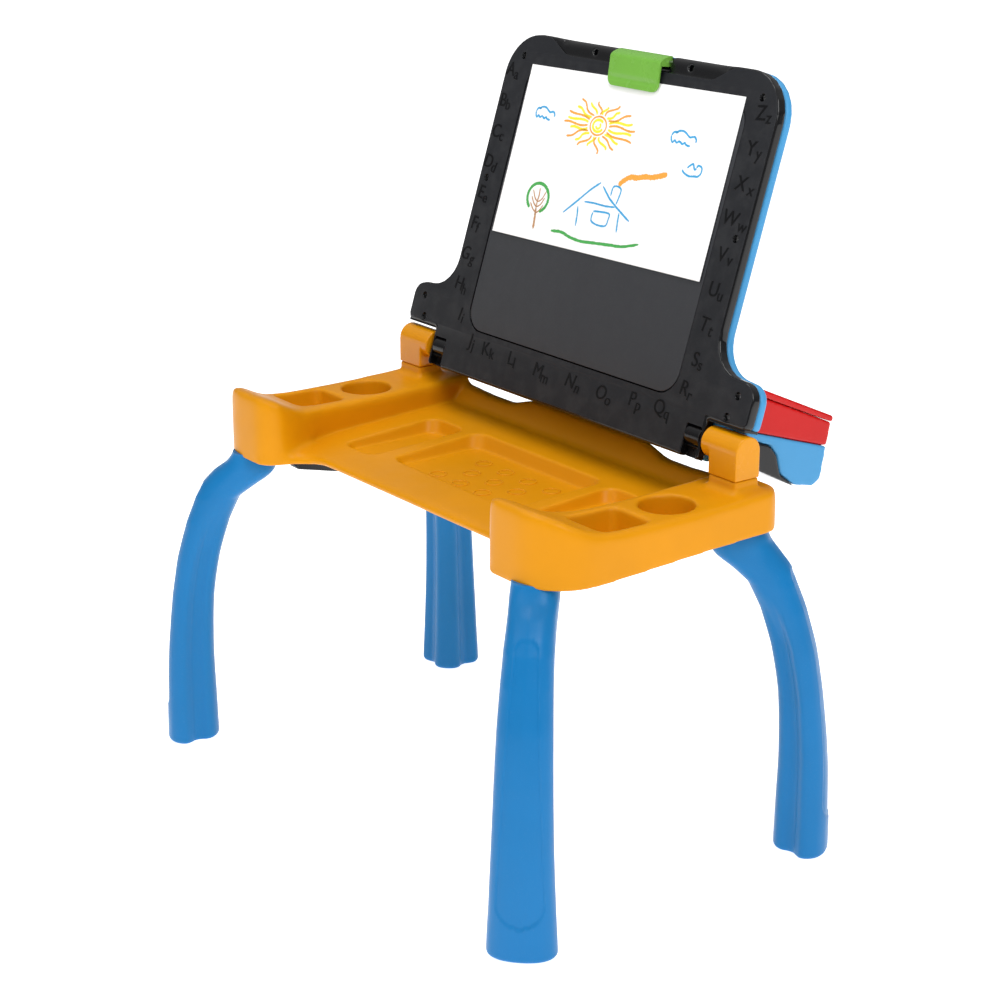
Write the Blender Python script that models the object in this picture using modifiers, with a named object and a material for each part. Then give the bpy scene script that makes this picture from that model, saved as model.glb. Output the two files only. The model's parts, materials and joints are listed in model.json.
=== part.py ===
"""Kids' easel desk: a four-legged tray table with a tilting easel board.

Everything is in metres, +Z up. The child sits on the -Y side and faces +Y; +X is their right.
The origin is on the floor, under the middle of the whole object's box.

Four empties carry the parts: the table, the board's hinge, the clip's pivot and the lid's hinge.
On the board, local X is across, local Y points out of its back and local Z runs up the board,
and all three start on the hinge axis, so the moving parts have their origins on their axes.
"""
import math

import bmesh
import bpy
from mathutils import Matrix, Vector

# ---------------------------------------------------------------- driving dimensions
GAP = 0.0003                # between pieces that touch
TABLE_Y = -0.01836          # puts the origin under the middle of the overall box
WALL = 0.003                # moulded wall of the tray and the rear case

# tray
TRAY_BOTTOM = 0.297
TRAY_FRONT, TRAY_REAR = -0.125, 0.129
TRAY_SIDE = 0.262           # half width
WING_TOP = 0.3395           # top of the side wings beside the cups
HORN_TOP = 0.3630           # raised front tip of each wing
WING_INNER = 0.1905         # half width of the low deck between the wings
DECK_FRONT = -0.085
DECK_Z, DECK_SLOPE = 0.3125, 0.055      # deck height at y = 0, and its rise per metre towards +Y
CREASE_Y = 0.107            # foot of the sloping rear wall
REAR_WALL_TOP, REAR_WALL_DIP = 0.3405, 0.3320
CUP_X, CUP_Y, CUP_R = 0.2260, 0.0265, 0.0242
BIN_X, BIN_Y = 0.2275, -0.0385          # middle of each wing compartment
BIN_W, BIN_L = 0.048, 0.054
SLOT_X, SLOT_Y, SLOT_W, SLOT_L = 0.1350, 0.0080, 0.050, 0.108
POCKET_Y, POCKET_W, POCKET_L = 0.0150, 0.186, 0.103
POCKET_FLOOR = 0.3030

# legs; a leg's own X points outwards along the diagonal, from the middle of its foot
FOOT_X, FOOT_Y = 0.270, 0.157
SPIGOT_R, SPIGOT_TOP = 0.012, 0.333
LEG_TOP_OFFSET = -0.069     # of the spigot, along the leg's own X
LEG_SECTIONS = [            # height, centre, half depth and half width of the leg
    (0.0000, 0.0000, 0.0228, 0.0282), (0.0035, 0.0000, 0.0245, 0.0300),
    (0.0450, 0.0000, 0.0238, 0.0280), (0.0950, -0.0008, 0.0222, 0.0260),
    (0.1500, -0.0053, 0.0203, 0.0244), (0.1930, -0.0129, 0.0202, 0.0232),
    (0.2290, -0.0236, 0.0205, 0.0218), (0.2540, -0.0345, 0.0215, 0.0208),
    (0.2660, -0.0450, 0.0260, 0.0201), (0.2800, -0.0590, 0.0290, 0.0197),
]

# hinge between the table and the board
HINGE_Y, HINGE_Z = 0.0965, 0.3753
BOARD_TILT = math.radians(17.68)        # how far the open board leans back from vertical
KNUCKLE_R = 0.0137
POST_IN, POST_OUT = 0.2137, 0.2486
KNUCKLE_IN = 0.2030
CAP_SEAM = 0.3513
BARREL_R, BARREL_IN, BARREL_OUT = 0.0105, 0.1780, 0.1967
PIN_R = 0.0039
PIN_FIT = 0.0001            # running clearance around every hinge pin

# board, in its own frame: half widths along X, heights above the hinge along Z
BOARD_FRONT, BOARD_SPLIT, BOARD_BACK = -0.0095, 0.0005, 0.0095
BOARD_HALF, BOARD_TOP, BOARD_LOW = 0.190, 0.3140, -0.020
EAR_HALF, EAR_LOW, EAR_TOP = 0.2475, 0.0172, 0.0560
NOTCH_X = 0.200
PANEL_HALF, PANEL_LOW, PANEL_HIGH, PANEL_R = 0.1530, 0.0262, 0.2850, 0.022
SCREWS = [(0.1662, 0.2914), (0.1780, 0.1705), (0.2290, 0.0437), (0.2221, 0.0240)]
SHEET_W, SHEET_H, SHEET_MID, SHEET_TURN = 0.297, 0.162, 0.2062, math.radians(0.9)
SHEET_T = 0.0005
PANEL_FIT, LEDGE = 0.0008, 0.0068       # play around the panel, and the ledge that it rests on
EDGE_ROUND = 0.0018
BEVEL_HALF, BEVEL_LOW = 0.115, 0.2985
PEG_X, PEG_Z = 0.0665, 0.3061

# clip, in the board's frame
CLIP_HALF = 0.0385
CLIP_AXIS = (-0.0062, 0.3085)
CLIP_PIN_R = 0.0012

# storage case behind the board, in the board's frame
CASE_HALF = 0.220
LID_HALF = 0.2215
LID_AXIS = (0.0152, 0.0512)
LID_T = 0.0060
LID_PIN_R = 0.0012

# braces under the wings, and what screws in where
RAIL_IN, RAIL_OUT, RAIL_END = 0.186, 0.200, 0.080
RAIL_MID = (RAIL_IN + RAIL_OUT) / 2
RAIL_SCREW_Y = 0.058
CAP_SCREW_X, CAP_SCREW_Y = 0.2400, 0.0880
BOSS_R = 0.006
SCREW_BORE_R, SCREW_SINK_R, CAP_BORE_R = 0.0016, 0.0036, 0.0018

# ---------------------------------------------------------------- materials
COLOURS = {                 # colour, roughness
    "tray_orange": ((0.87, 0.37, 0.012), 0.32),
    "leg_blue": ((0.036, 0.262, 0.645), 0.42),
    "shell_blue": ((0.105, 0.40, 0.76), 0.38),
    "frame_black": ((0.022, 0.024, 0.029), 0.38),
    "panel_grey": ((0.046, 0.050, 0.057), 0.55),
    "base_black": ((0.012, 0.012, 0.014), 0.25),
    "storage_red": ((0.68, 0.022, 0.022), 0.30),
    "clip_green": ((0.185, 0.50, 0.065), 0.32),
    "paper_white": ((0.90, 0.90, 0.90), 0.80),
    "screw_steel": ((0.55, 0.56, 0.58), 0.35),
}


def clear_scene():
    for old in list(bpy.data.objects):
        bpy.data.objects.remove(old, do_unlink=True)


def make_material(name):
    colour, roughness = COLOURS[name]
    made = bpy.data.materials.new(name)
    made.use_nodes = True
    shader = made.node_tree.nodes["Principled BSDF"]
    shader.inputs["Base Color"].default_value = (*colour, 1.0)
    shader.inputs["Roughness"].default_value = roughness
    shader.inputs["Metallic"].default_value = 1.0 if name == "screw_steel" else 0.0
    made.diffuse_color = (*colour, 1.0)
    return made


clear_scene()
PARTS = bpy.data.collections.new("kids_easel")
CUTTERS = bpy.data.collections.new("cutters")
for group in (PARTS, CUTTERS):
    bpy.context.scene.collection.children.link(group)
MATERIALS = {name: make_material(name) for name in COLOURS}


def make_empty(name, parent=None, location=(0, 0, 0), turn_x=0.0):
    empty = bpy.data.objects.new(name, None)
    empty.parent = parent
    empty.location = location
    empty.rotation_euler = (turn_x, 0, 0)
    PARTS.objects.link(empty)
    return empty


TABLE = make_empty("table_origin", None, (0, TABLE_Y, 0))
BOARD = make_empty("board_hinge", TABLE, (0, HINGE_Y, HINGE_Z), -BOARD_TILT)
CLIP = make_empty("clip_pivot", BOARD, (0, *CLIP_AXIS))
LID = make_empty("lid_hinge", BOARD, (0, *LID_AXIS))


# ---------------------------------------------------------------- building helpers
def place(name, mesh, parent, material, location=(0, 0, 0), rotation=(0, 0, 0)):
    """Make an object from a mesh; with no material it is a hidden cutter."""
    made = bpy.data.objects.new(name, mesh)
    made.parent = parent
    made.location = location
    made.rotation_euler = rotation
    if material:
        mesh.materials.append(MATERIALS[material])
        PARTS.objects.link(made)
    else:
        CUTTERS.objects.link(made)
        made.hide_render = True
        made.display_type = "WIRE"
    mesh.shade_smooth()
    mesh.set_sharp_from_angle(angle=math.radians(35))
    return made


def from_bmesh(name, work):
    bmesh.ops.recalc_face_normals(work, faces=work.faces)
    mesh = bpy.data.meshes.new(name)
    work.to_mesh(mesh)
    work.free()
    return mesh


def rounded(corners, steps=5):
    """An outline through (u, v, radius) corners, with each corner turned by an arc."""
    points = []
    for number, (u, v, radius) in enumerate(corners):
        here = Vector((u, v))
        before = (Vector(corners[number - 1][:2]) - here).normalized()
        after = (Vector(corners[(number + 1) % len(corners)][:2]) - here).normalized()
        if radius <= 0:
            points.append(here)
            continue
        half = before.angle(after) / 2
        centre = here + (before + after).normalized() * radius / math.sin(half)
        reach = radius / math.tan(half)
        start = here + before * reach - centre
        sweep = start.angle_signed(here + after * reach - centre)
        for step in range(steps + 1):
            points.append(centre + Matrix.Rotation(-sweep * step / steps, 2) @ start)
    return points


def mesh_from(name, data, tools=()):
    """The mesh of a curve or a profile once its modifiers have run, with its caps welded."""
    guide = bpy.data.objects.new(name, data)
    for kind, settings in tools:
        tool = guide.modifiers.new(kind, kind)
        for key, value in settings.items():
            setattr(tool, key, value)
    bpy.context.scene.collection.objects.link(guide)
    mesh = bpy.data.meshes.new_from_object(guide.evaluated_get(bpy.context.evaluated_depsgraph_get()))
    bpy.data.objects.remove(guide, do_unlink=True)
    work = bmesh.new()
    work.from_mesh(mesh)
    bmesh.ops.remove_doubles(work, verts=work.verts, dist=1e-6)
    return work


PLANES = {                  # which way an outline's u, v and its depth run
    "XY": Matrix.Identity(4),
    "YZ": Matrix(((0, 0, 1, 0), (1, 0, 0, 0), (0, 1, 0, 0), (0, 0, 0, 1))),
    "XZ": Matrix(((1, 0, 0, 0), (0, 0, 1, 0), (0, 1, 0, 0), (0, 0, 0, 1))),
}


def slab_mesh(name, outline, low, high, plane="XY"):
    """A flat outline, extruded from low to high across its plane."""
    curve = bpy.data.curves.new(name, "CURVE")
    curve.dimensions = "2D"
    curve.fill_mode = "BOTH"
    curve.extrude = (high - low) / 2
    spline = curve.splines.new("POLY")
    spline.points.add(len(outline) - 1)
    for point, (u, v) in zip(spline.points, outline):
        point.co = (u, v, 0, 1)
    spline.use_cyclic_u = True
    work = mesh_from(name, curve)
    bmesh.ops.dissolve_limit(work, angle_limit=0.001, verts=work.verts, edges=work.edges)
    bmesh.ops.translate(work, verts=work.verts, vec=(0, 0, (low + high) / 2))
    bmesh.ops.transform(work, matrix=PLANES[plane], verts=work.verts)
    return from_bmesh(name, work)


def slab(name, outline, low, high, plane, parent, material=None, bevel=0.0):
    made = place(name, slab_mesh(name, outline, low, high, plane), parent, material)
    if bevel:
        round_edges(made, bevel)
    return made


def round_edges(target, width, segments=2):
    tool = target.modifiers.new("rounded edges", "BEVEL")
    tool.width = width
    tool.segments = segments
    tool.limit_method = "ANGLE"
    tool.angle_limit = math.radians(50)
    tool.use_clamp_overlap = True


def box_outline(u0, u1, v0, v1, radius=0.0):
    return rounded([(u0, v0, radius), (u1, v0, radius), (u1, v1, radius), (u0, v1, radius)])


def rod_mesh(name, radius, low, high, axis="X", top_radius=None, segments=24):
    """A round bar, or a cone when top_radius differs, from low to high along one axis."""
    work = bmesh.new()
    bmesh.ops.create_cone(work, cap_ends=True, segments=segments, radius1=radius,
                          radius2=radius if top_radius is None else top_radius, depth=high - low)
    bmesh.ops.translate(work, verts=work.verts, vec=(0, 0, (low + high) / 2))
    turn = {"X": Matrix.Rotation(math.pi / 2, 4, "Y"), "Y": Matrix.Rotation(-math.pi / 2, 4, "X"),
            "Z": Matrix.Identity(4)}[axis]
    bmesh.ops.transform(work, matrix=turn, verts=work.verts)
    return from_bmesh(name, work)


def rod(name, radius, low, high, axis, parent, material=None, at=(0, 0, 0), **options):
    return place(name, rod_mesh(name, radius, low, high, axis, **options), parent, material, at)


def loft_mesh(name, rings):
    """A closed skin through rings that all have the same number of points."""
    work = bmesh.new()
    loops = [[work.verts.new(point) for point in ring] for ring in rings]
    count = len(loops[0])
    for lower, upper in zip(loops, loops[1:]):
        for i in range(count):
            j = (i + 1) % count
            work.faces.new((lower[i], lower[j], upper[j], upper[i]))
    work.faces.new(list(reversed(loops[0])))
    work.faces.new(loops[-1])
    return from_bmesh(name, work)


def basin(name, width, length, floor, draft, parent, at, grow=0.0, radius=0.010, rise=0.03):
    """A cutter for a drafted pocket whose rim lies at the height given in at."""
    rings = []
    slope = draft / (at[2] - floor)
    for height in (floor - grow, at[2] + rise):
        spread = (height - at[2]) * slope + grow
        half_w = width / 2 + spread
        half_l = length / 2 + spread
        ring = rounded([(-half_w, -half_l, radius), (half_w, -half_l, radius),
                        (half_w, half_l, radius), (-half_w, half_l, radius)], 4)
        rings.append([(u, v, height - at[2]) for u, v in ring])
    return place(name, loft_mesh(name, rings), parent, None, at)


def boolean(target, tool_object, operation="DIFFERENCE"):
    tool = target.modifiers.new(tool_object.name, "BOOLEAN")
    tool.operation = operation
    tool.solver = "EXACT"
    tool.object = tool_object
    return target


def screw_mesh(name, head_r, head_t, shank_r, length, steps=12):
    """A pan-head screw, turned about Z: its head's flat face is at z = 0 and its shank hangs down."""
    profile = [(0, 0), (head_r, 0), (head_r, -head_t), (shank_r, -head_t), (shank_r, -length), (0, -length)]
    outline = bpy.data.meshes.new(name)
    corners = [(radius, 0, height) for radius, height in profile]
    outline.from_pydata(corners, [(i, i + 1) for i in range(len(corners) - 1)], [])
    turn = {"axis": "Z", "angle": math.tau, "steps": steps, "render_steps": steps,
            "use_merge_vertices": True, "merge_threshold": 0.00001}
    return from_bmesh(name, mesh_from(name, outline, [("SCREW", turn)]))


def both_sides(builder):
    """Run a builder for the left (-1) and the right (+1) side."""
    for side, word in ((-1, "left"), (1, "right")):
        builder(side, word)


# ---------------------------------------------------------------- tray
def mirrored(right_half):
    """Close a right-hand outline, given from front to back, with its mirror image."""
    return right_half + [(-u, v, r) for u, v, r in reversed(right_half)]


def tray_outline(inset=0.0):
    side = TRAY_SIDE - inset
    front = TRAY_FRONT + inset
    return rounded(mirrored([
        (0.146, DECK_FRONT + inset, 0.020), (0.170 + inset, front, 0.016 - inset),
        (side, front, 0.040 - inset), (side, TRAY_REAR - inset, 0.020 - inset)]), 6)


def wing_profile(low, drop=0.0):
    """The wings seen from the side: a level top that rises to the horn at the front."""
    return rounded([
        (-0.20, low, 0), (0.20, low, 0), (0.20, WING_TOP + 0.001 - drop, 0),
        (0.0, WING_TOP - drop, 0.2), (-0.058, WING_TOP - 0.0015 - drop, 0.030),
        (-0.098, HORN_TOP - drop, 0.022), (-0.20, HORN_TOP + 0.001 - drop, 0)], 6)


def deck_z(y):
    return DECK_Z + DECK_SLOPE * y


def deck_profile(drop=0.0):
    """What is open above the deck, seen from the side."""
    return rounded([
        (-0.20, deck_z(-0.20) - drop, 0), (CREASE_Y, deck_z(CREASE_Y) - drop, 0.008),
        (CREASE_Y + 0.018, REAR_WALL_TOP - drop, 0.004), (0.20, REAR_WALL_TOP - drop, 0),
        (0.20, 0.42, 0), (-0.20, 0.42, 0)], 3)


def wall_wave(half, drop=0.0):
    """What is open above the rear wall, seen from the front: a crown between two dips."""
    crown = REAR_WALL_TOP + 0.002 - drop
    dip = REAR_WALL_DIP - drop
    return rounded([
        (-half, 0.42, 0), (-half, dip + 0.003, 0), (-0.150, dip, 0.03), (-0.112, dip, 0.03),
        (-0.082, crown, 0.03), (0.082, crown, 0.03), (0.112, dip, 0.03), (0.150, dip, 0.03),
        (half, dip + 0.003, 0), (half, 0.42, 0)], 4)


def tray_solid(name, inset, low, material=None):
    """The tray without its pockets; inset by the wall, it is the hollow underneath."""
    body = slab(name, tray_outline(inset), low, 0.38, "XY", TABLE, material)
    half = WING_INNER + inset
    wings = slab(name + "_wings", wing_profile(low - 0.01, inset), -0.3, 0.3, "YZ", TABLE)
    boolean(body, wings, "INTERSECT")
    boolean(body, slab(name + "_deck", deck_profile(inset), -half, half, "YZ", TABLE))
    boolean(body, slab(name + "_wave", wall_wave(half, inset), 0.095, 0.16, "XZ", TABLE))
    return body


def tray_pockets(grow):
    """Cutters for everything pressed into the tray; grown by the wall, they keep the hollow away."""
    tag = "_wall" if grow else ""
    made = [basin("pocket_main" + tag, POCKET_W, POCKET_L, POCKET_FLOOR, 0.005, TABLE,
                  (0, POCKET_Y, deck_z(POCKET_Y)), grow, 0.012, 0.004)]
    for side, word in ((-1, "left"), (1, "right")):
        made.append(basin(f"pocket_slot_{word}{tag}", SLOT_W, SLOT_L, POCKET_FLOOR, 0.004, TABLE,
                          (side * SLOT_X, SLOT_Y, deck_z(SLOT_Y)), grow, 0.012, 0.004))
        made.append(basin(f"pocket_bin_{word}{tag}", BIN_W, BIN_L, POCKET_FLOOR, 0.006, TABLE,
                          (side * BIN_X, BIN_Y, WING_TOP), grow, 0.007, 0.015))
        made.append(rod(f"pocket_cup_{word}{tag}", CUP_R - 0.0015 + grow, POCKET_FLOOR - grow,
                        WING_TOP + 0.02, "Z", TABLE, at=(side * CUP_X, CUP_Y, 0),
                        top_radius=CUP_R + 0.0008 + grow, segments=32))
    return made


def leg_corners():
    """Name, x sign, y sign and the turn of each leg about Z."""
    for y_word, y_sign in (("front", -1), ("rear", 1)):
        for x_word, x_sign in (("left", -1), ("right", 1)):
            yield f"{y_word}_{x_word}", x_sign, y_sign, math.atan2(y_sign, x_sign)


SOCKET_X = FOOT_X + LEG_TOP_OFFSET * math.cos(math.pi / 4)
SOCKET_Y = FOOT_Y + LEG_TOP_OFFSET * math.sin(math.pi / 4)


def make_tray():
    hollow = tray_solid("tray_hollow", WALL, TRAY_BOTTOM - 0.01)
    for tool in tray_pockets(WALL):
        boolean(hollow, tool)
    tray = tray_solid("tray", 0.0, TRAY_BOTTOM, "tray_orange")
    for tool in tray_pockets(0.0):
        boolean(tray, tool)

    def hinge_post(side, word):
        x0, x1 = sorted((side * POST_IN, side * POST_OUT))
        near, far = HINGE_Y - KNUCKLE_R, HINGE_Y + KNUCKLE_R
        outline = box_outline(x0, x1, near, far, 0.002)
        post = slab(f"post_{word}", outline, WING_TOP - 0.001, CAP_SEAM, "XY", TABLE)
        boolean(tray, post, "UNION")
        outline = box_outline(x0 - 0.003, x1 + 0.003, near - 0.004, far + 0.004, 0.004)
        foot = slab(f"post_foot_{word}", outline, WING_TOP - 0.0015, WING_TOP + 0.0035, "XY", TABLE)
        boolean(tray, foot, "UNION")
        for end in (-1, 1):
            boss = rod(f"rail_boss_{word}_{end}", BOSS_R, TRAY_BOTTOM - 0.02, 0.36, "Z", TABLE,
                       at=(side * RAIL_MID, end * RAIL_SCREW_Y, 0), segments=16)
            boolean(hollow, boss)
        boolean(hollow, rod(f"cap_boss_{word}", BOSS_R, 0.326, 0.36, "Z", TABLE,
                            at=(side * CAP_SCREW_X, CAP_SCREW_Y, 0), segments=16))

    both_sides(hinge_post)
    for name, x_sign, y_sign, _ in leg_corners():
        spot = (x_sign * SOCKET_X, y_sign * SOCKET_Y, 0)
        socket = rod(f"socket_{name}", SPIGOT_R + GAP + WALL, TRAY_BOTTOM - 0.02, 0.40, "Z", TABLE, at=spot)
        boolean(hollow, socket)
    boolean(tray, hollow)
    for name, x_sign, y_sign, _ in leg_corners():
        spot = (x_sign * SOCKET_X, y_sign * SOCKET_Y, 0)
        boolean(tray, rod(f"socket_bore_{name}", SPIGOT_R + GAP, TRAY_BOTTOM - 0.02, SPIGOT_TOP + GAP, "Z",
                          TABLE, at=spot))

    def screw_holes(side, word):
        for end in (-1, 1):
            boolean(tray, rod(f"rail_hole_{word}_{end}", SCREW_BORE_R, TRAY_BOTTOM - 0.02, 0.3085, "Z", TABLE,
                              at=(side * RAIL_MID, end * RAIL_SCREW_Y, 0), segments=12))
        boolean(tray, rod(f"cap_hole_{word}", CAP_BORE_R, 0.30, CAP_SEAM + 0.01, "Z", TABLE,
                          at=(side * CAP_SCREW_X, CAP_SCREW_Y, 0), segments=12))

    both_sides(screw_holes)


# ---------------------------------------------------------------- legs and rails
def leg_ring(height, centre, depth, width, points=20):
    """A leg's section: a smooth convex outer face, and two shallow flutes on the inner face."""
    ring = []
    for i in range(points):
        angle = math.tau * i / points
        flute = math.exp(-((abs(angle - math.pi) - 0.72) / 0.26) ** 2)
        squash = 1 - 0.13 * flute
        reach = (abs(math.cos(angle)) ** 2.6 + abs(math.sin(angle)) ** 2.6) ** (-1 / 2.6) * squash
        ring.append((centre + depth * reach * math.cos(angle), width * reach * math.sin(angle), height))
    return ring


def round_ring(height, centre, radius, points=20):
    angles = [math.tau * i / points for i in range(points)]
    return [(centre + radius * math.cos(a), radius * math.sin(a), height) for a in angles]


def make_legs():
    collar = TRAY_BOTTOM - GAP
    rings = [leg_ring(*section) for section in LEG_SECTIONS]
    rings.append(round_ring(collar - 0.0045, LEG_TOP_OFFSET, 0.0235))
    rings.append(round_ring(collar, LEG_TOP_OFFSET, 0.0235))
    rings.append(round_ring(collar, LEG_TOP_OFFSET, SPIGOT_R))
    rings.append(round_ring(SPIGOT_TOP, LEG_TOP_OFFSET, SPIGOT_R))
    mesh = loft_mesh("leg", rings)
    mesh.materials.append(MATERIALS["leg_blue"])
    for name, x_sign, y_sign, turn in leg_corners():
        leg = bpy.data.objects.new(f"leg_{name}", mesh)
        leg.parent = TABLE
        leg.location = (x_sign * FOOT_X, y_sign * FOOT_Y, 0)
        leg.rotation_euler = (0, 0, turn)
        PARTS.objects.link(leg)
    mesh.shade_smooth()
    mesh.set_sharp_from_angle(angle=math.radians(40))


def make_rails():
    """Black braces screwed under the wings, between the leg sockets."""
    top = TRAY_BOTTOM - GAP
    outline = rounded([
        (-RAIL_END, top, 0), (-RAIL_END, 0.2835, 0.003), (-0.022, 0.2695, 0.02),
        (0.022, 0.2695, 0.02), (RAIL_END, 0.2835, 0.003), (RAIL_END, top, 0)], 4)

    def rail(side, word):
        x0, x1 = sorted((side * RAIL_IN, side * RAIL_OUT))
        brace = slab(f"leg_rail_{word}", outline, x0, x1, "YZ", TABLE, "base_black")
        for end, place_word in ((-1, "front"), (1, "rear")):
            spot = (side * RAIL_MID, end * RAIL_SCREW_Y, 0)
            boolean(brace, rod(f"rail_sink_{word}_{end}", SCREW_SINK_R, 0.26, 0.2885, "Z", TABLE,
                               at=spot, segments=16))
            boolean(brace, rod(f"rail_bore_{word}_{end}", SCREW_BORE_R, 0.28, 0.30, "Z", TABLE,
                               at=spot, segments=12))
            screw = screw_mesh("rail_screw", 0.0032, 0.002, 0.0013, 0.0210)
            place(f"rail_screw_{place_word}_{word}", screw, TABLE, "screw_steel",
                  (spot[0], spot[1], 0.2861), (math.pi, 0, 0))

    both_sides(rail)


# ---------------------------------------------------------------- hinge between table and board
def make_hinges():
    def hinge(side, word):
        x0, x1 = sorted((side * POST_IN, side * POST_OUT))
        arch = [Vector((KNUCKLE_R * math.cos(a), KNUCKLE_R * math.sin(a)))
                for a in (math.pi * i / 14 for i in range(15))]
        foot = CAP_SEAM + GAP - HINGE_Z
        outline = [(HINGE_Y + u, HINGE_Z + v) for u, v in
                   [(KNUCKLE_R, foot)] + [tuple(p) for p in arch] + [(-KNUCKLE_R, foot)]]
        cap = slab(f"hinge_cap_{word}", outline, x0, x1, "YZ", TABLE, "tray_orange")
        axis = (0, HINGE_Y, HINGE_Z)
        lo, hi = sorted((side * KNUCKLE_IN, side * (POST_IN + 0.002)))
        knuckle = rod(f"knuckle_{word}", KNUCKLE_R - 0.00005, lo, hi, "X", TABLE, at=axis, segments=28)
        boolean(cap, knuckle, "UNION")
        lo, hi = sorted((side * (KNUCKLE_IN - 0.01), side * 0.2405))
        boolean(cap, rod(f"knuckle_bore_{word}", PIN_R + PIN_FIT, lo, hi, "X", TABLE, at=axis, segments=20))
        boolean(cap, rod(f"cap_bore_{word}", CAP_BORE_R, 0.34, 0.3680, "Z", TABLE,
                         at=(side * CAP_SCREW_X, CAP_SCREW_Y, 0), segments=12))
        screw = screw_mesh("cap_screw", 0.0034, 0.0022, 0.0015, 0.0450)
        place(f"cap_screw_{word}", screw, TABLE, "screw_steel",
              (side * CAP_SCREW_X, CAP_SCREW_Y, 0.3222), (math.pi, 0, 0))
        lo, hi = sorted((side * 0.1802, side * 0.2400))
        rod(f"hinge_pin_{word}", PIN_R, lo, hi, "X", TABLE, "screw_steel", at=axis, segments=20)
        lo, hi = sorted((side * BARREL_IN, side * BARREL_OUT))
        barrel = rod(f"hinge_barrel_{word}", BARREL_R, lo, hi, "X", BOARD, "base_black", segments=28)
        lo, hi = sorted((side * 0.1798, side * 0.21))
        boolean(barrel, rod(f"barrel_bore_{word}", PIN_R + PIN_FIT, lo, hi, "X", BOARD, segments=20))

    both_sides(hinge)


# ---------------------------------------------------------------- board
def board_outline(inset=0.0):
    """The board from the front: round top corners, and an ear flaring out over each hinge."""
    half = BOARD_HALF - inset
    ear = EAR_HALF - inset
    right = [
        (NOTCH_X - inset, BOARD_LOW + inset, 0.004), (NOTCH_X - inset, EAR_LOW + inset, 0.003),
        (ear, EAR_LOW + inset, 0.005), (ear, EAR_TOP - inset, 0.017),
        (half, EAR_TOP + 0.004 - inset, 0.034), (half, BOARD_TOP - inset, 0.042 - inset)]
    return rounded(mirrored(right), 6)


def hinge_clearance(target, tag, low, high):
    """Room for a barrel and its pin, and a window at the front or back to reach them."""
    def clear(side, word):
        lo, hi = sorted((side * (BARREL_IN - GAP), side * (BARREL_OUT + GAP)))
        boolean(target, rod(f"{tag}_barrel_room_{word}", BARREL_R + 0.0008, lo, hi, "X", BOARD, segments=28))
        window = box_outline(lo, hi, BOARD_LOW - 0.01, 0.0090)
        boolean(target, slab(f"{tag}_window_{word}", window, low, high, "XZ", BOARD))
        lo, hi = sorted((side * (BARREL_OUT - 0.002), side * (NOTCH_X + 0.01)))
        boolean(target, rod(f"{tag}_pin_room_{word}", PIN_R + 0.0004, lo, hi, "X", BOARD, segments=20))

    both_sides(clear)


def make_front_frame():
    frame = slab("front_frame", board_outline(), BOARD_FRONT, BOARD_SPLIT, "XZ", BOARD,
                 "frame_black", EDGE_ROUND)

    def holes(side, word):
        for number, (x, z) in enumerate(SCREWS):
            at = (side * x, 0, z)
            boolean(frame, rod(f"screw_sink_{word}_{number}", SCREW_SINK_R, -0.02, BOARD_FRONT + 0.005, "Y",
                               BOARD, at=at, segments=18))
            boolean(frame, rod(f"screw_bore_{word}_{number}", SCREW_BORE_R, -0.006, 0.01, "Y", BOARD,
                               at=at, segments=12))
        boolean(frame, rod(f"peg_hole_{word}", 0.0030, -0.02, -0.002, "Y", BOARD,
                           at=(side * PEG_X, 0, PEG_Z), segments=16))

    both_sides(holes)
    half, low, high = PANEL_HALF + PANEL_FIT, PANEL_LOW - PANEL_FIT, PANEL_HIGH + PANEL_FIT
    rebate = box_outline(-half, half, low, high, PANEL_R)
    boolean(frame, slab("panel_rebate", rebate, BOARD_FRONT - 0.01, BOARD_FRONT + 0.0040, "XZ", BOARD))
    hollow = box_outline(-half + LEDGE, half - LEDGE, low + LEDGE, high - LEDGE, PANEL_R - LEDGE)
    boolean(frame, slab("frame_hollow", hollow, BOARD_FRONT + 0.0066, 0.01, "XZ", BOARD))
    bevel = [(BOARD_FRONT - 0.004, BEVEL_LOW - 0.0040), (BOARD_FRONT + 0.0063, 0.3200),
             (BOARD_FRONT - 0.004, 0.3200)]
    boolean(frame, slab("top_bevel", bevel, -BEVEL_HALF, BEVEL_HALF, "YZ", BOARD))
    pocket = box_outline(-0.0195, -0.0006, 0.3005, 0.3300)
    half = CLIP_HALF + 0.001
    boolean(frame, slab("clip_pocket", pocket, -half, half, "YZ", BOARD))
    boolean(frame, rod("clip_pin_bore", CLIP_PIN_R + PIN_FIT, -0.0430, 0.0430, "X", BOARD,
                       at=(0, *CLIP_AXIS), segments=12))
    hinge_clearance(frame, "frame", -0.02, 0.0001)


def make_frame_screws():
    mesh = screw_mesh("frame_screw", 0.0032, 0.0022, 0.0013, 0.0090)
    mesh.materials.append(MATERIALS["screw_steel"])
    for side, word in ((-1, "left"), (1, "right")):
        for number, (x, z) in enumerate(SCREWS):
            screw = bpy.data.objects.new(f"frame_screw_{word}_{number + 1}", mesh)
            screw.parent = BOARD
            screw.location = (side * x, BOARD_FRONT + 0.0025, z)
            screw.rotation_euler = (math.pi / 2, 0, 0)
            PARTS.objects.link(screw)


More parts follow.
